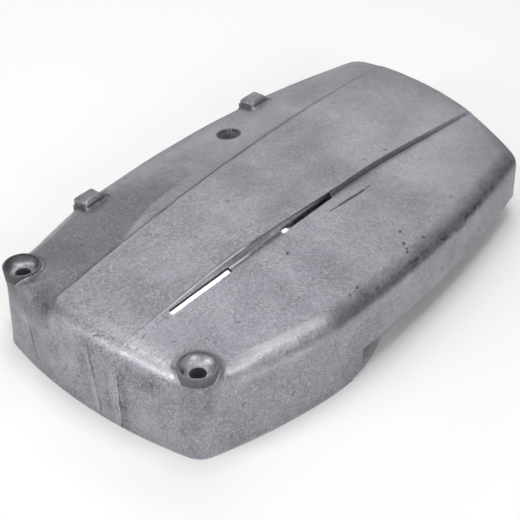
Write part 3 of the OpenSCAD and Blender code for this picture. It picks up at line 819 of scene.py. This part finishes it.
def lug_solid(x, y, foot):
    """A lug with a chamfered top and softened edges."""
    half, top = np.array((LUG_LEN / 2, LUG_W / 2)), foot + ROLL_W + LUG_H
    obj = block("lug", (*((x, y) - half), foot), (*((x, y) + half), top))
    with opened(obj) as bm:
        rim = [e for e in bm.edges if all(v.co.z > (top - LEVEL) * MM for v in e.verts)]
        bmesh.ops.bevel(bm, geom=rim, offset=LUG_CHAMFER * MM, segments=1, affect="EDGES")
        edges = [e for e in bm.edges if any(v.co.z > (foot + LEVEL) * MM for v in e.verts)]
        bmesh.ops.bevel(bm, geom=edges, offset=LUG_SOFT * MM, segments=2, profile=0.5, affect="EDGES")
    return obj


def boss(y):
    """A round boss, slimmer towards its foot, with a soft lip."""
    lip, top = BOSS_LIP, BOSS_D / 2
    side = [(mix(BOSS_FOOT_D / 2, top, t), mix(BOSS_H / 2, BOSS_H - lip, t)) for t in np.linspace(0, 1, 16)]
    round_lip = [(top - 0.3 * lip, BOSS_H - 0.3 * lip), (top - lip, BOSS_H)]
    return lathe("boss", [(0, BOSS_H / 2), *side, *round_lip, (0, BOSS_H)], 0, y)


def screw_cutter(y):
    """What a screw's bore and the bowl over it take away."""
    bore, bowl = SCREW_HOLE_D / 2, (FUNNEL_D - SCREW_HOLE_D) / 2
    turns = np.linspace(0, BOWL_TURN, 12)
    rim = [(bore + bowl * math.sin(a), BOSS_H - FUNNEL_DEPTH * math.cos(a)) for a in turns]
    edge = bore + bowl
    above = [(edge, BOSS_H), (edge + BOWL_FLARE, BOSS_H + BOWL_FLARE), (edge + BOWL_FLARE, TOP_H)]
    return lathe("screw_cutter", [(0, -OVER), (bore, -OVER), *rim, *above, (0, TOP_H)], 0, y)


def under_skin(name, top_t):
    """The room under the skin, where the top is as thick as top_t."""
    return mesh_object(name, *skin(counts(5, 1, 8, 2, 0), WALL, top_t, -OVER, ROLL_W - WALL))


def cavity():
    """The hollow under the skin, without the columns, chamber wall and ribs that stay solid."""
    hollow = under_skin("cavity", TOP_T)
    inside = CHAMBER_R - CHAMBER_WALL
    wall = cylinder("chamber_wall", CHAMBER_X, 0, CHAMBER_R, -OVER, TOP_H, CHAMBER_FACES)
    chamber = cylinder("chamber_inside", CHAMBER_X, 0, inside, -2 * OVER, TOP_H + OVER, CHAMBER_FACES)
    combine(wall, chamber, "DIFFERENCE")
    far_half = block("far_half", (CHAMBER_X, -CHAMBER_R - OVER, -3 * OVER),
                     (CHAMBER_X + 2 * CHAMBER_R, CHAMBER_R + OVER, TOP_H + 2 * OVER))
    combine(wall, far_half, "INTERSECT")
    combine(hollow, wall, "DIFFERENCE")
    for x, y, d in ((0, -HALF_PITCH, COLUMN_D), (0, HALF_PITCH, COLUMN_D), (THIRD_X, THIRD_Y, THIRD_COLUMN_D)):
        combine(hollow, cylinder("column", x, y, d / 2, -2 * OVER, TOP_H), "DIFFERENCE")
    rib_z = TOP_H - (FULL_LEN - CREST_X) ** 2 / (2 * CROWN_LEN_R) - TOP_T - RIB_H
    for y in (-RIB_PITCH / 2, RIB_PITCH / 2):
        low = (CHAMBER_X + inside + RIB_BITE, y - RIB_T / 2, rib_z)
        combine(hollow, block("rib", low, (FULL_LEN + RIB_PAST, y + RIB_T / 2, TOP_H)), "DIFFERENCE")
    return hollow


def cut_below(cover):
    """Hollows the cover out, and past the chamber's middle takes all but the round skirt off its foot."""
    combine(cover, cavity(), "DIFFERENCE")
    wide = 2 * FULL_LEN
    past = block("past_skirt", (CHAMBER_X, -wide, -OVER), (wide, wide, SHALLOW_Z))
    skirt = cylinder("skirt", CHAMBER_X, 0, CHAMBER_R, -2 * OVER, SHALLOW_Z + OVER, CHAMBER_FACES)
    combine(past, skirt, "DIFFERENCE")
    combine(cover, past, "DIFFERENCE")
    combine(cover, block("skirt_foot", (CHAMBER_X, -wide, -OVER), (wide, wide, SKIRT_LIP)), "DIFFERENCE")


def cut_slots(cover):
    """Cuts the slots, and thins the top round them from below."""
    for i, width in enumerate(SLOT_WIDTHS):
        x = SLOT_X + i * SLOT_PITCH
        slot = lambda more: block("slot", (x - more, BAND_RIGHT_NEAR - width - more, SHALLOW_Z),
                                  (x + SLOT_LEN + more, BAND_RIGHT_NEAR + more, TOP_H + OVER))
        thin = under_skin("thin_ground", SLOT_T)
        combine(thin, slot(SLOT_GROUND), "INTERSECT")
        combine(cover, thin, "DIFFERENCE")
        combine(cover, slot(0), "DIFFERENCE")


def cut_screws(cover):
    """Cuts the third screw's recess and bore, then the end screws' bores and bowls."""
    top = float(z_strip(THIRD_X, THIRD_Y))
    recess = cylinder("third_recess", THIRD_X, THIRD_Y, THIRD_D / 2, top - THIRD_DEPTH, top + 2 * OVER)
    bore = cylinder("third_bore", THIRD_X, THIRD_Y, SCREW_HOLE_D / 2, 0, top)
    for tool in (recess, bore, screw_cutter(-HALF_PITCH), screw_cutter(HALF_PITCH)):
        combine(cover, tool, "DIFFERENCE")


def clean(cover):
    """Merges what the cuts left doubled, and keeps every point inside the CAD part's box."""
    with opened(cover) as bm:
        bmesh.ops.remove_doubles(bm, verts=bm.verts, dist=SAME * MM)
        bmesh.ops.dissolve_degenerate(bm, edges=bm.edges, dist=NO_LENGTH * MM)
        for v in bm.verts:
            v.co = [min(max(c, low), high) for c, low, high in zip(v.co, *CAD_BOX)]


# Rounds that smooth the shape which wear is measured from, and the height and depth in mm of full wear
CALM_ROUNDS, WORN_HEIGHT, HOLLOW_DEPTH = 14, 0.35, 0.3
# Steps between the outline's points, as shares of a corner and of a side, and in how many parts the distances
# from it are taken, which keeps the table of them small
CORNER_STEP, SIDE_STEP, PARTS = 0.04, 0.01, 40


def patch_strength(co, table):
    """How strongly the patches of a table reach each point."""
    out = np.zeros(len(co))
    for run, reach, share in table:
        for start, end in zip(np.array(run[:-1], float), np.array(run[1:], float)):
            way = end - start
            along = np.clip((co - start) @ way / (way @ way), 0, 1)
            gap = np.linalg.norm(co - start - along[:, None] * way, axis=1)
            np.maximum(out, share * ease(1 - gap / reach), out=out)
    return out


def add_skin_fields(obj):
    """Writes how far each point stands out or lies in a hollow, where it lies from the cover's edges in mm,
    and how strongly the lighter and darker patches, in places painted light and painted shade, reach it."""
    mesh = obj.data
    co, normal = points_and_normals(mesh)
    n = len(co)
    ends = np.empty(len(mesh.edges) * 2, np.int32)
    mesh.edges.foreach_get("vertices", ends)
    a, b = ends.reshape(-1, 2).T
    count = np.bincount(a, minlength=n) + np.bincount(b, minlength=n)
    calm = co.copy()
    for _ in range(CALM_ROUNDS):
        total = np.stack([np.bincount(a, calm[b, k], n) + np.bincount(b, calm[a, k], n) for k in range(3)], 1)
        calm = 0.5 * calm + 0.5 * total / np.maximum(count, 1)[:, None]
    stands = ((co - calm) * normal).sum(1)
    x, y, z = co.T
    corner, side = np.arange(0, 1, CORNER_STEP), np.arange(0, 1, SIDE_STEP)
    outline = np.concatenate([
        place(st(i, t), 0) for i in range(N_C) for st, t in ((corner_st, corner), (link_st, side))
    ])
    inboard = np.concatenate([
        np.sqrt(((part[:, None] - outline[None]) ** 2).sum(2).min(1)) for part in np.array_split(co[:, :2], PARTS)
    ])
    lug_tops = [([(x - 4, y, foot + ROLL_W + 3), (x + 4, y, foot + ROLL_W + 3)], 7.5, 0.6) for x, y, foot in LUGS]
    marks = {
        "worn": ease(stands / WORN_HEIGHT),
        "hollow": ease(-stands / HOLLOW_DEPTH),
        "inboard": inboard,
        "fall": z_calm(x, y) - z,
        "past_left": y - band_left(x),
        "past_right": band_right(x) - y,
        "past_foot": slot_line(x) - RISER_W - y,
        "pale": patch_strength(co, PALE),
        "dark": patch_strength(co, DARK + lug_tops),
    }
    for name, values in marks.items():
        mesh.attributes.new(name, "FLOAT", "POINT").data.foreach_set("value", values.astype(np.float32))


# The metal

# Noise patterns as size in mm, detail and roughness. Real sand grain is near 0.4 mm, drawn at 0.8 mm to show
PATTERNS = {
    "clouds": (30, 3.0, 0.55),
    "mottle": (6, 3.0, 0.6),
    "coarse": (2.0, 2.0, 0.6),
    "grain": (0.8, 1.0, 0.6),
    "drift": (9, 2.0, 0.5),
    "wander": (2.5, 2.0, 0.6),
}
# How far a hand drawn line wanders, in mm from one end of the pattern to the other
WANDER = 1.6
SKIN_FIELDS = ("worn", "hollow", "inboard", "fall", "past_left", "past_right", "past_foot", "pale", "dark")


def near_run_group():
    """A group that marks what lies near the line from Start to End: 1 on it, 0 at Width from it."""
    tree = bpy.data.node_groups.new("near_run", "ShaderNodeTree")
    for name in ("Position", "Start", "End"):
        tree.interface.new_socket(name, in_out="INPUT", socket_type="NodeSocketVector")
    tree.interface.new_socket("Width", in_out="INPUT", socket_type="NodeSocketFloat")
    tree.interface.new_socket("Mark", in_out="OUTPUT", socket_type="NodeSocketFloat")
    given = add(tree, "NodeGroupInput").outputs
    way, gone = (add(tree, "ShaderNodeVectorMath", (0, given[name]), (1, given["Start"]), operation="SUBTRACT")
                 for name in ("End", "Position"))
    along, whole = (add(tree, "ShaderNodeVectorMath", (0, side), (1, way), operation="DOT_PRODUCT").outputs["Value"]
                    for side in (gone, way))
    share = add(tree, "ShaderNodeMath", (0, along), (1, whole), operation="DIVIDE", use_clamp=True)
    reached = add(tree, "ShaderNodeVectorMath", (0, way), ("Scale", share), operation="SCALE")
    gap = add(tree, "ShaderNodeVectorMath", (0, gone), (1, reached), operation="DISTANCE").outputs["Value"]
    add(tree, "NodeGroupOutput", (0, formula(tree, "MULTIPLY", (gap, given["Width"], 0.0))))
    return tree


def drawn(tree, at, run, width, ends=0.5, steady=False):
    """Marks a run of points, thinner in its first and last stretch, by a shaky hand or a steady one."""
    marks = []
    for i, (start, end) in enumerate(zip(run[:-1], run[1:])):
        thin = len(run) > 2 and i in (0, len(run) - 2)
        marks.append(add(tree, "ShaderNodeGroup", ("Position", at.spot if steady else at.shaky), ("Start", start),
                         ("End", end), ("Width", width * ends if thin else width), node_tree=at.near_run))
    return formula(tree, "MAXIMUM", *marks)


def on_field(x, y):
    return x, y, float(z_field(x, y))


def off(tree, value, middle):
    """How far a value is from a middle one."""
    return add(tree, "ShaderNodeMath", (0, formula(tree, "SUBTRACT", value, middle)), operation="ABSOLUTE")


def swing(pattern, first, last):
    """A part of a formula that follows a noise pattern from first to last."""
    return pattern, NOISE_LOW, NOISE_HIGH, first, last


def formulas(tree):
    """Product, greatest, sum and difference of a tree's parts."""
    return [partial(formula, tree, operation) for operation in ("MULTIPLY", "MAXIMUM", "ADD", "SUBTRACT")]


def fields(tree):
    """What the marks read: places in mm, noise patterns, the attributes written on the skin, and the stretches that
    several marks share.
    """
    times, _, plus, _ = formulas(tree)
    where = add(tree, "ShaderNodeTexCoord").outputs["Object"]
    spot = add(tree, "ShaderNodeVectorMath", (0, where), ("Scale", 1 / MM), operation="SCALE")
    axes = add(tree, "ShaderNodeSeparateXYZ", (0, spot)).outputs
    at = SimpleNamespace(spot=spot, x=axes["X"], y=axes["Y"], z=axes["Z"], near_run=near_run_group())
    for name, (size, detail, rough) in PATTERNS.items():
        pattern = add(tree, "ShaderNodeTexNoise", ("Vector", spot), ("Scale", 1 / size), ("Detail", detail),
                      ("Roughness", rough))
        setattr(at, name, pattern)
    for name in SKIN_FIELDS:
        setattr(at, name, add(tree, "ShaderNodeAttribute", attribute_name=name).outputs["Fac"])
    centred = add(tree, "ShaderNodeVectorMath", (0, at.wander.outputs["Color"]), (1, (-0.5, -0.5, -0.5)),
                  operation="ADD")
    wander = add(tree, "ShaderNodeVectorMath", (0, centred), ("Scale", WANDER), operation="SCALE")
    at.shaky = add(tree, "ShaderNodeVectorMath", (0, spot), (1, wander), operation="ADD")
    # Distances from the bosses' and the third screw's upright lines
    level = add(tree, "ShaderNodeVectorMath", (0, spot), (1, (1, 1, 0)), operation="MULTIPLY")
    at.lug_boss, at.slot_boss, at.third = (
        add(tree, "ShaderNodeVectorMath", (0, level), (1, middle), operation="DISTANCE").outputs["Value"]
        for middle in ((0, HALF_PITCH, 0), (0, -HALF_PITCH, 0), (THIRD_X, THIRD_Y, 0)))
    at.in_bowl = times((at.z, BOSS_H - 5, BOSS_H - 4.4))
    at.slot_side = times((at.past_right, 9, 14))
    at.top_only = times((at.fall, 3.5, 2.6))
    # How far past the riser's foot, which lies lower between the slots
    at.low = plus(at.past_foot, times((at.x, 60, 80, 0.6, 2.2), (at.x, 119, 117)))
    return at


def oil_mark(tree, at):
    """Old oil: the strip, from a curve beside the band, fading out towards the far end."""
    times, _, plus, less = formulas(tree)
    beside = less(at.past_left, (at.x, 26, 64, 0.0, 9.5))
    along = plus(at.x, times(at.y, 0.8), swing(at.drift, -8, 8))
    return times((beside, -0.6, 1.4), (along, 138, 102), (at.fall, 11, 5))


def dirt_and_shade_marks(tree, at):
    """Dirt, painted shade and a painted dark reflection, and the part of them that no rubbing reaches."""
    times, most, plus, less = formulas(tree)
    x, fall, right = at.x, at.fall, at.past_right
    # A painted dark reflection, broad along the slot side roll, with a black line in it
    dark_roll_reflection = times((at.inboard, 12.0, 5.5), (fall, 4.6, 2.2), (x, 49, 58), (x, 224, 200), at.slot_side,
                    swing(at.mottle, 0.65, 1.0))
    middle = plus((x, 78, 132, 4.9, 2.7), swing(at.drift, -0.7, 0.7))
    dirt_line = times((off(tree, at.inboard, middle), 1.0, 0.2), (x, 62, 80), (x, 208, 180), at.slot_side,
                      (at.mottle, 0.35, 0.6, 0.25, 1.0), (fall, 5.5, 4.0))
    # Painted shade on the riser, less beside the first slot and over the second, and painted shadow lines along the
    # band's edges
    by_slot = less(1.0, times((x, 54, 49), 0.55))
    over_slot = less(1.0, times((x, 76, 84), (x, 119, 117), 0.7))
    riser_shade = times((right, -0.1, 0.3), (at.low, 0.3, -0.4), (x, 6, 22), at.top_only,
                     (at.coarse, 0.32, 0.68, 0.4, 1.0), by_slot, over_slot, (x, 125, 200, 1.0, 0.75))
    edge_line = times((off(tree, at.past_left, 0.0), 0.45, 0.05), at.top_only, (at.mottle, 0.4, 0.6, 0.2, 1.0),
                      (x, 110, 175, 1.0, 0.45))
    lip_shade = times((off(tree, right, -0.1), 0.5, 0.1), (x, 60, 68), (x, 126, 118), at.top_only)
    # In folds, scratch and pits
    folds = most(*(drawn(tree, at, run, 0.7) for run in FOLDS))
    scratch = drawn(tree, at, [on_field(*p) for p in SCRATCH], 1.15, 0.55, steady=True)
    pits = most(*(drawn(tree, at, [on_field(x, y), on_field(x + 0.8, y + 0.3)], 1.1) for x, y in PITS))
    # Painted shade in the bowl over each end screw, strongest on one side of the slot side one; dark on their lips,
    # and in a ring round the third one
    aside = plus(times(x, 0.63), times(less(off(tree, at.y, 0.0), HALF_PITCH), 0.77))
    bowl_shade = most(times((at.lug_boss, 6.8, 4.0), 0.45), times((at.slot_boss, 7.3, 5.5), (aside, 3.5, -3.5), 0.9))
    bowl_shade = times(bowl_shade, at.in_bowl, (at.z, BOSS_H - 0.2, BOSS_H - 0.8))
    lips = times(most(*((off(tree, gap, BOSS_D / 2 - 0.3), 0.6, 0.3) for gap in (at.lug_boss, at.slot_boss))),
                 at.in_bowl)
    ring = times((off(tree, at.third, THIRD_D / 2 + 0.5), 0.8, 0.3), (fall, 1.4, 0.7))
    # Darker in the skin's hollows, weaker round the slot side boss, together with the marks above
    dirt_and_shade = most(
        times(at.hollow, (at.slot_boss, 8.5, 12, 0.1, 0.7)), times(dark_roll_reflection, 0.55), times(dirt_line, 0.85),
        times(riser_shade, 0.62), times(edge_line, 0.55), times(lip_shade, 0.75), times(folds, 0.75),
        times(scratch, 0.95), times(pits, 0.95), bowl_shade, times(lips, 0.6), times(ring, 0.8))
    return dirt_and_shade, most(folds, times(lips, 0.8))


def rubbed_and_highlight_marks(tree, at):
    """Bright metal: edges rubbed bare, which also carry painted sheen, and painted highlights and painted light."""
    times, most, plus, less = formulas(tree)
    x, y, fall, right = at.x, at.y, at.fall, at.past_right
    # Rubbed bare with painted sheen where the skin stands out towards the screw end, but for the burr's first stretch
    no_burr = less(1.0, times((off(tree, right, -0.2), 1.4, 0.7), (x, 18, 10), 0.7))
    rubbed = times(at.worn, (x, 62, 30), (at.mottle, 0.3, 0.6, 0.3, 0.9), no_burr)
    # Painted highlights on the roll at the screw end and beside the first slot, up to the boss
    end_roll_highlight = times((off(tree, fall, (y, -40, -18, 1.8, 0.6)), 2.4, 0.3), (x, -1, -5), (y, 14, -14), 0.6)
    side_roll_highlight = times((off(tree, fall, (x, 12, 26, 1.2, 0.3)), 1.1, 0.1), at.slot_side, (x, 4, 8), (x, 57, 48),
                      (at.inboard, 11, 8.5), (x, 14, 30, 1.0, 0.6))
    roll_highlights = times(most(end_roll_highlight, side_roll_highlight), (at.mottle, 0.3, 0.6, 0.5, 1.0), (at.slot_boss, 7.6, 8.6))
    # Painted highlights on the lip beside the first slot and on the riser's foot after it, and painted light on the
    # wall of the third screw's recess
    lip = times((off(tree, right, -0.2), 0.5, 0.15), (x, 6, 20), (x, 68, 58), at.top_only)
    foot_glint = times((off(tree, at.low, 0.0), 0.6, 0.1), (x, 49, 50.5), (x, 66, 58), at.top_only)
    third_wall_light = times((at.third, 5.02, 4.94), (fall, 0.9, 1.5))
    # Painted light on the inner wall of the slot side bowl
    inward = plus(times(x, 0.65), times(plus(y, HALF_PITCH), 0.76))
    bowl_wall_light = times((at.slot_boss, 4.2, 5.4), (at.slot_boss, 7.3, 6.9), (inward, 1.0, 4.0), at.in_bowl, 0.6)
    glints = most(*(times(drawn(tree, at, run, width, 0.6), share) for run, width, share in GLINTS))
    return most(times(rubbed, 0.6), times(roll_highlights, 0.75), times(lip, 0.95), times(foot_glint, 0.8),
                times(third_wall_light, 0.6), bowl_wall_light, glints)


def cast_aluminium(finish):
    """Raw sand cast aluminium: a dull grey skin with the sand's dark and light grain, cloudy from the mould's wash,
    dark with old oil over the near strip, painted shade on the end wall, the riser, the band's edges and in the screw
    bowl, a painted dark reflection with a black line along the slot side roll, and bright at the screw end from
    rubbed edges, painted sheen and painted highlights."""
    metal = bpy.data.materials.new("raw_cast_aluminium")
    metal.use_nodes = True
    tree = metal.node_tree
    tree.nodes.clear()
    times, most, plus, less = formulas(tree)
    at = fields(tree)
    dirt_and_shade, kept_dirt = dirt_and_shade_marks(tree, at)
    rubbed_and_highlit = times(rubbed_and_highlight_marks(tree, at), less(1.0, kept_dirt))
    # Tone: clouds and mottling, the broad lighter and darker patches, some of them painted light and painted shade,
    # and painted shade on the end wall below the roll
    end_wall_shade = times((at.x, -6, -9), (at.fall, 2, 5), swing(at.drift, -0.08, 0.2))
    stain_and_shade = plus(swing(at.clouds, 0.34, 0.60), swing(at.mottle, 0.0, 0.15), plus(times(at.dark, 0.36), end_wall_shade))
    stain_and_shade = less(stain_and_shade, times(at.pale, 0.36))
    # Sand grain, light above 0 and dark below, fainter towards the far end and on the strip
    specks = plus((at.grain, 0.25, 0.75, -0.37, 0.37), (at.coarse, 0.25, 0.75, -0.16, 0.16))
    specks = times(specks, (at.x, 60, 200, 1.0, 0.45), (at.past_left, -2, 8, 1.0, 0.65), swing(at.drift, 0.7, 1.3))
    colour_in = (*finish.bare, 1)
    for share, over in (
        (stain_and_shade, finish.stained_and_shaded),
        (times(oil_mark(tree, at), 0.6), finish.oil),
        (most(specks, 0.0), finish.bright),
        (times(most(times(specks, -1.0), 0.0), 0.9), finish.grime_and_shade),
        (dirt_and_shade, finish.grime_and_shade),
        (rubbed_and_highlit, finish.bright),
    ):
        colour_in = add(tree, "ShaderNodeMix", (0, share), (6, colour_in), (7, (*over, 1)),
                        data_type="RGBA").outputs[2]
    rough = less(swing(at.clouds, finish.roughness - 0.06, finish.roughness + 0.08), times(rubbed_and_highlit, 0.16))
    rough = plus(rough, swing(at.grain, -0.05, 0.07), times(dirt_and_shade, 0.15))
    sand = add(tree, "ShaderNodeBump", ("Height", at.grain), ("Strength", 0.45), ("Distance", 0.2 * MM))
    bump = add(tree, "ShaderNodeBump", ("Height", at.coarse), ("Strength", 0.5), ("Distance", 0.4 * MM),
               ("Normal", sand))
    surface = add(tree, "ShaderNodeBsdfPrincipled", ("Base Color", colour_in), ("Metallic", 0.85),
                  ("Roughness", rough), ("Normal", bump))
    add(tree, "ShaderNodeOutputMaterial", ("Surface", surface))
    return metal


def build_casting(scene):
    """The whole cover as one mesh: its skin, then what stands on it, then what is cut from it."""
    sizes = scene.cover_casting
    metal = cast_aluminium(scene.cover_finish)
    fine = counts(sizes.skin_step / MM, wall=20, roll=10, riser=6, lip_steps=7)
    cover = mesh_object("cover_casting", *skin(fine, 0, 0, 0, ROLL_W, sizes.lip_height / MM))
    refine(cover, by_end_wall_or_boss)
    soften_seams(cover, sizes.fillet / MM)
    sink_relief(cover, sizes, metal)
    for tool in (boss(-HALF_PITCH), boss(HALF_PITCH), *(lug_solid(*lug) for lug in LUGS)):
        combine(cover, tool, "UNION")
    cut_below(cover)
    cut_slots(cover)
    cut_screws(cover)
    clean(cover)
    cover.data.materials.clear()
    cover.data.materials.append(metal)
    add_skin_fields(cover)
    cover.data.shade_smooth()
    cover.data.set_sharp_from_angle(angle=SHARP_ANGLE)
    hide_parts("flywheel_cover")
    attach(cover, "root")


class COVER_OT_casting(bpy.types.Operator):
    """Builds the casting and its metal"""

    bl_idname = "cover.casting"
    bl_label = "Casting"

    def execute(self, context):
        build_casting(context.scene)
        return {"FINISHED"}


# The stage: the photograph's camera, whose fit gives its place, aim and roll
EYE = Vector((-211.3, -248.2, 303.8)) * MM
AIM = Vector((81.32, -9.48, 20)) * MM
ROLL, SENSOR_MM, CLIP = math.radians(-0.13), 36, (0.01, 30)
# The main light hangs over the cover. Each of the others stands round it by a turn and a rise in degrees, with
# a share of the main one's power
ROUND_LIGHTS = [
    (0, 22, 0.131), (0, 50, 0.124), (40, 22, 0.128), (40, 50, 0.186), (80, 22, 0.323),
    (160, 22, 0.566), (160, 50, 0.225), (240, 22, 0.657), (280, 50, 0.244),
]
HEART, AWAY, OVER_SIZE, ROUND_SIZE = Vector((0.11, 0, 0.02)), 1.1, 0.7, 0.45
# Small lamps that light the floor seen through the first slot and the near end of the second, each by its
# place along the cover, size, share of the power below and spread in degrees
UNDER_LIGHTS = {"below": (0.072, 0.05, 1.0, 14), "below_far": (0.1268, 0.003, 0.03, 7)}
UNDER_Y, UNDER_Z = 0.013, 0.03
FLOOR_R = 6


def soft_light(name, at, size, power, toward=HEART):
    """A round lamp of a size in metres that faces a point."""
    light = bpy.data.lights.new(name, "AREA")
    light.shape, light.size, light.energy = "DISK", size, power
    obj = bpy.data.objects.new(name, light)
    obj.location = at
    obj.rotation_euler = (toward - obj.location).to_track_quat("-Z", "Y").to_euler()
    bpy.context.scene.collection.objects.link(obj)
    return light


def build_floor(colour_in):
    bpy.ops.mesh.primitive_circle_add(vertices=64, radius=FLOOR_R, fill_type="NGON")
    floor = bpy.context.object
    floor.name = "floor"
    # Matt white studio paper: pale, even and without gloss
    paint = bpy.data.materials.new("pale_floor")
    paint.use_nodes = True
    paint.node_tree.nodes.clear()
    surface = add(paint.node_tree, "ShaderNodeBsdfPrincipled", ("Base Color", (*colour_in, 1)), ("Roughness", 0.9))
    add(paint.node_tree, "ShaderNodeOutputMaterial", ("Surface", surface))
    floor.data.materials.append(paint)


def build_lights(power, under):
    """The main light, the ones round it, and the lamps under the slots. The world itself is dark."""
    world = bpy.data.worlds.new("studio")
    world.use_nodes = True
    world.node_tree.nodes["Background"].inputs["Strength"].default_value = 0
    bpy.context.scene.world = world
    soft_light("over", HEART + Vector((0, 0, AWAY)), OVER_SIZE, power)
    for turn_deg, rise_deg, share in ROUND_LIGHTS:
        a, b = math.radians(turn_deg), math.radians(rise_deg)
        way = Vector((math.cos(a) * math.cos(b), math.sin(a) * math.cos(b), math.sin(b)))
        soft_light(f"round_{turn_deg}_{rise_deg}", HEART + AWAY * way, ROUND_SIZE, power * share)
    for name, (x, size, share, spread) in UNDER_LIGHTS.items():
        spot = Vector((x, UNDER_Y, 0))
        lamp = soft_light(name, spot + Vector((0, 0, UNDER_Z)), size, under * share, spot)
        lamp.spread = math.radians(spread)


def build_camera(lens):
    camera = bpy.data.cameras.new("camera")
    camera.sensor_width, camera.lens = SENSOR_MM, lens / MM
    camera.clip_start, camera.clip_end = CLIP
    eye = bpy.data.objects.new("camera", camera)
    look = (AIM - EYE).to_track_quat("-Z", "Y").to_matrix().to_4x4()
    eye.matrix_world = Matrix.Translation(EYE) @ look @ Matrix.Rotation(ROLL, 4, "Z")
    bpy.context.scene.collection.objects.link(eye)
    bpy.context.scene.camera = eye


class COVER_OT_stage(bpy.types.Operator):
    """Builds the floor, the light and the camera"""

    bl_idname = "cover.stage"
    bl_label = "Stage"

    def execute(self, context):
        stage = context.scene.cover_stage
        build_floor(stage.floor)
        build_lights(stage.light, stage.under)
        build_camera(stage.lens)
        context.scene.view_settings.view_transform = "Standard"
        return {"FINISHED"}


class COVER_PT_panel(bpy.types.Panel):
    """Lists the cover's sizes, finish and stage"""

    bl_idname = "COVER_PT_panel"
    bl_label = "Flywheel cover"
    bl_space_type = "VIEW_3D"
    bl_region_type = "UI"
    bl_category = "Flywheel cover"

    def draw(self, context):
        rows = (("cover_casting", "cover.casting"), ("cover_finish", None), ("cover_stage", "cover.stage"))
        for group, operator in rows:
            box = self.layout.box()
            values = getattr(context.scene, group)
            for name in values.__annotations__:
                box.prop(values, name)
            if operator:
                box.operator(operator)


GROUPS = {"cover_casting": CoverCasting, "cover_finish": CoverFinish, "cover_stage": CoverStage}
CLASSES = (*GROUPS.values(), COVER_OT_casting, COVER_OT_stage, COVER_PT_panel)


def register():
    for cls in CLASSES:
        bpy.utils.register_class(cls)
    for name, group in GROUPS.items():
        setattr(bpy.types.Scene, name, PointerProperty(type=group))


def unregister():
    for name in GROUPS:
        delattr(bpy.types.Scene, name)
    for cls in reversed(CLASSES):
        bpy.utils.unregister_class(cls)


def main():
    register()
    bpy.ops.cover.stage()
    bpy.ops.cover.casting()


if __name__ == "__main__":
    main()
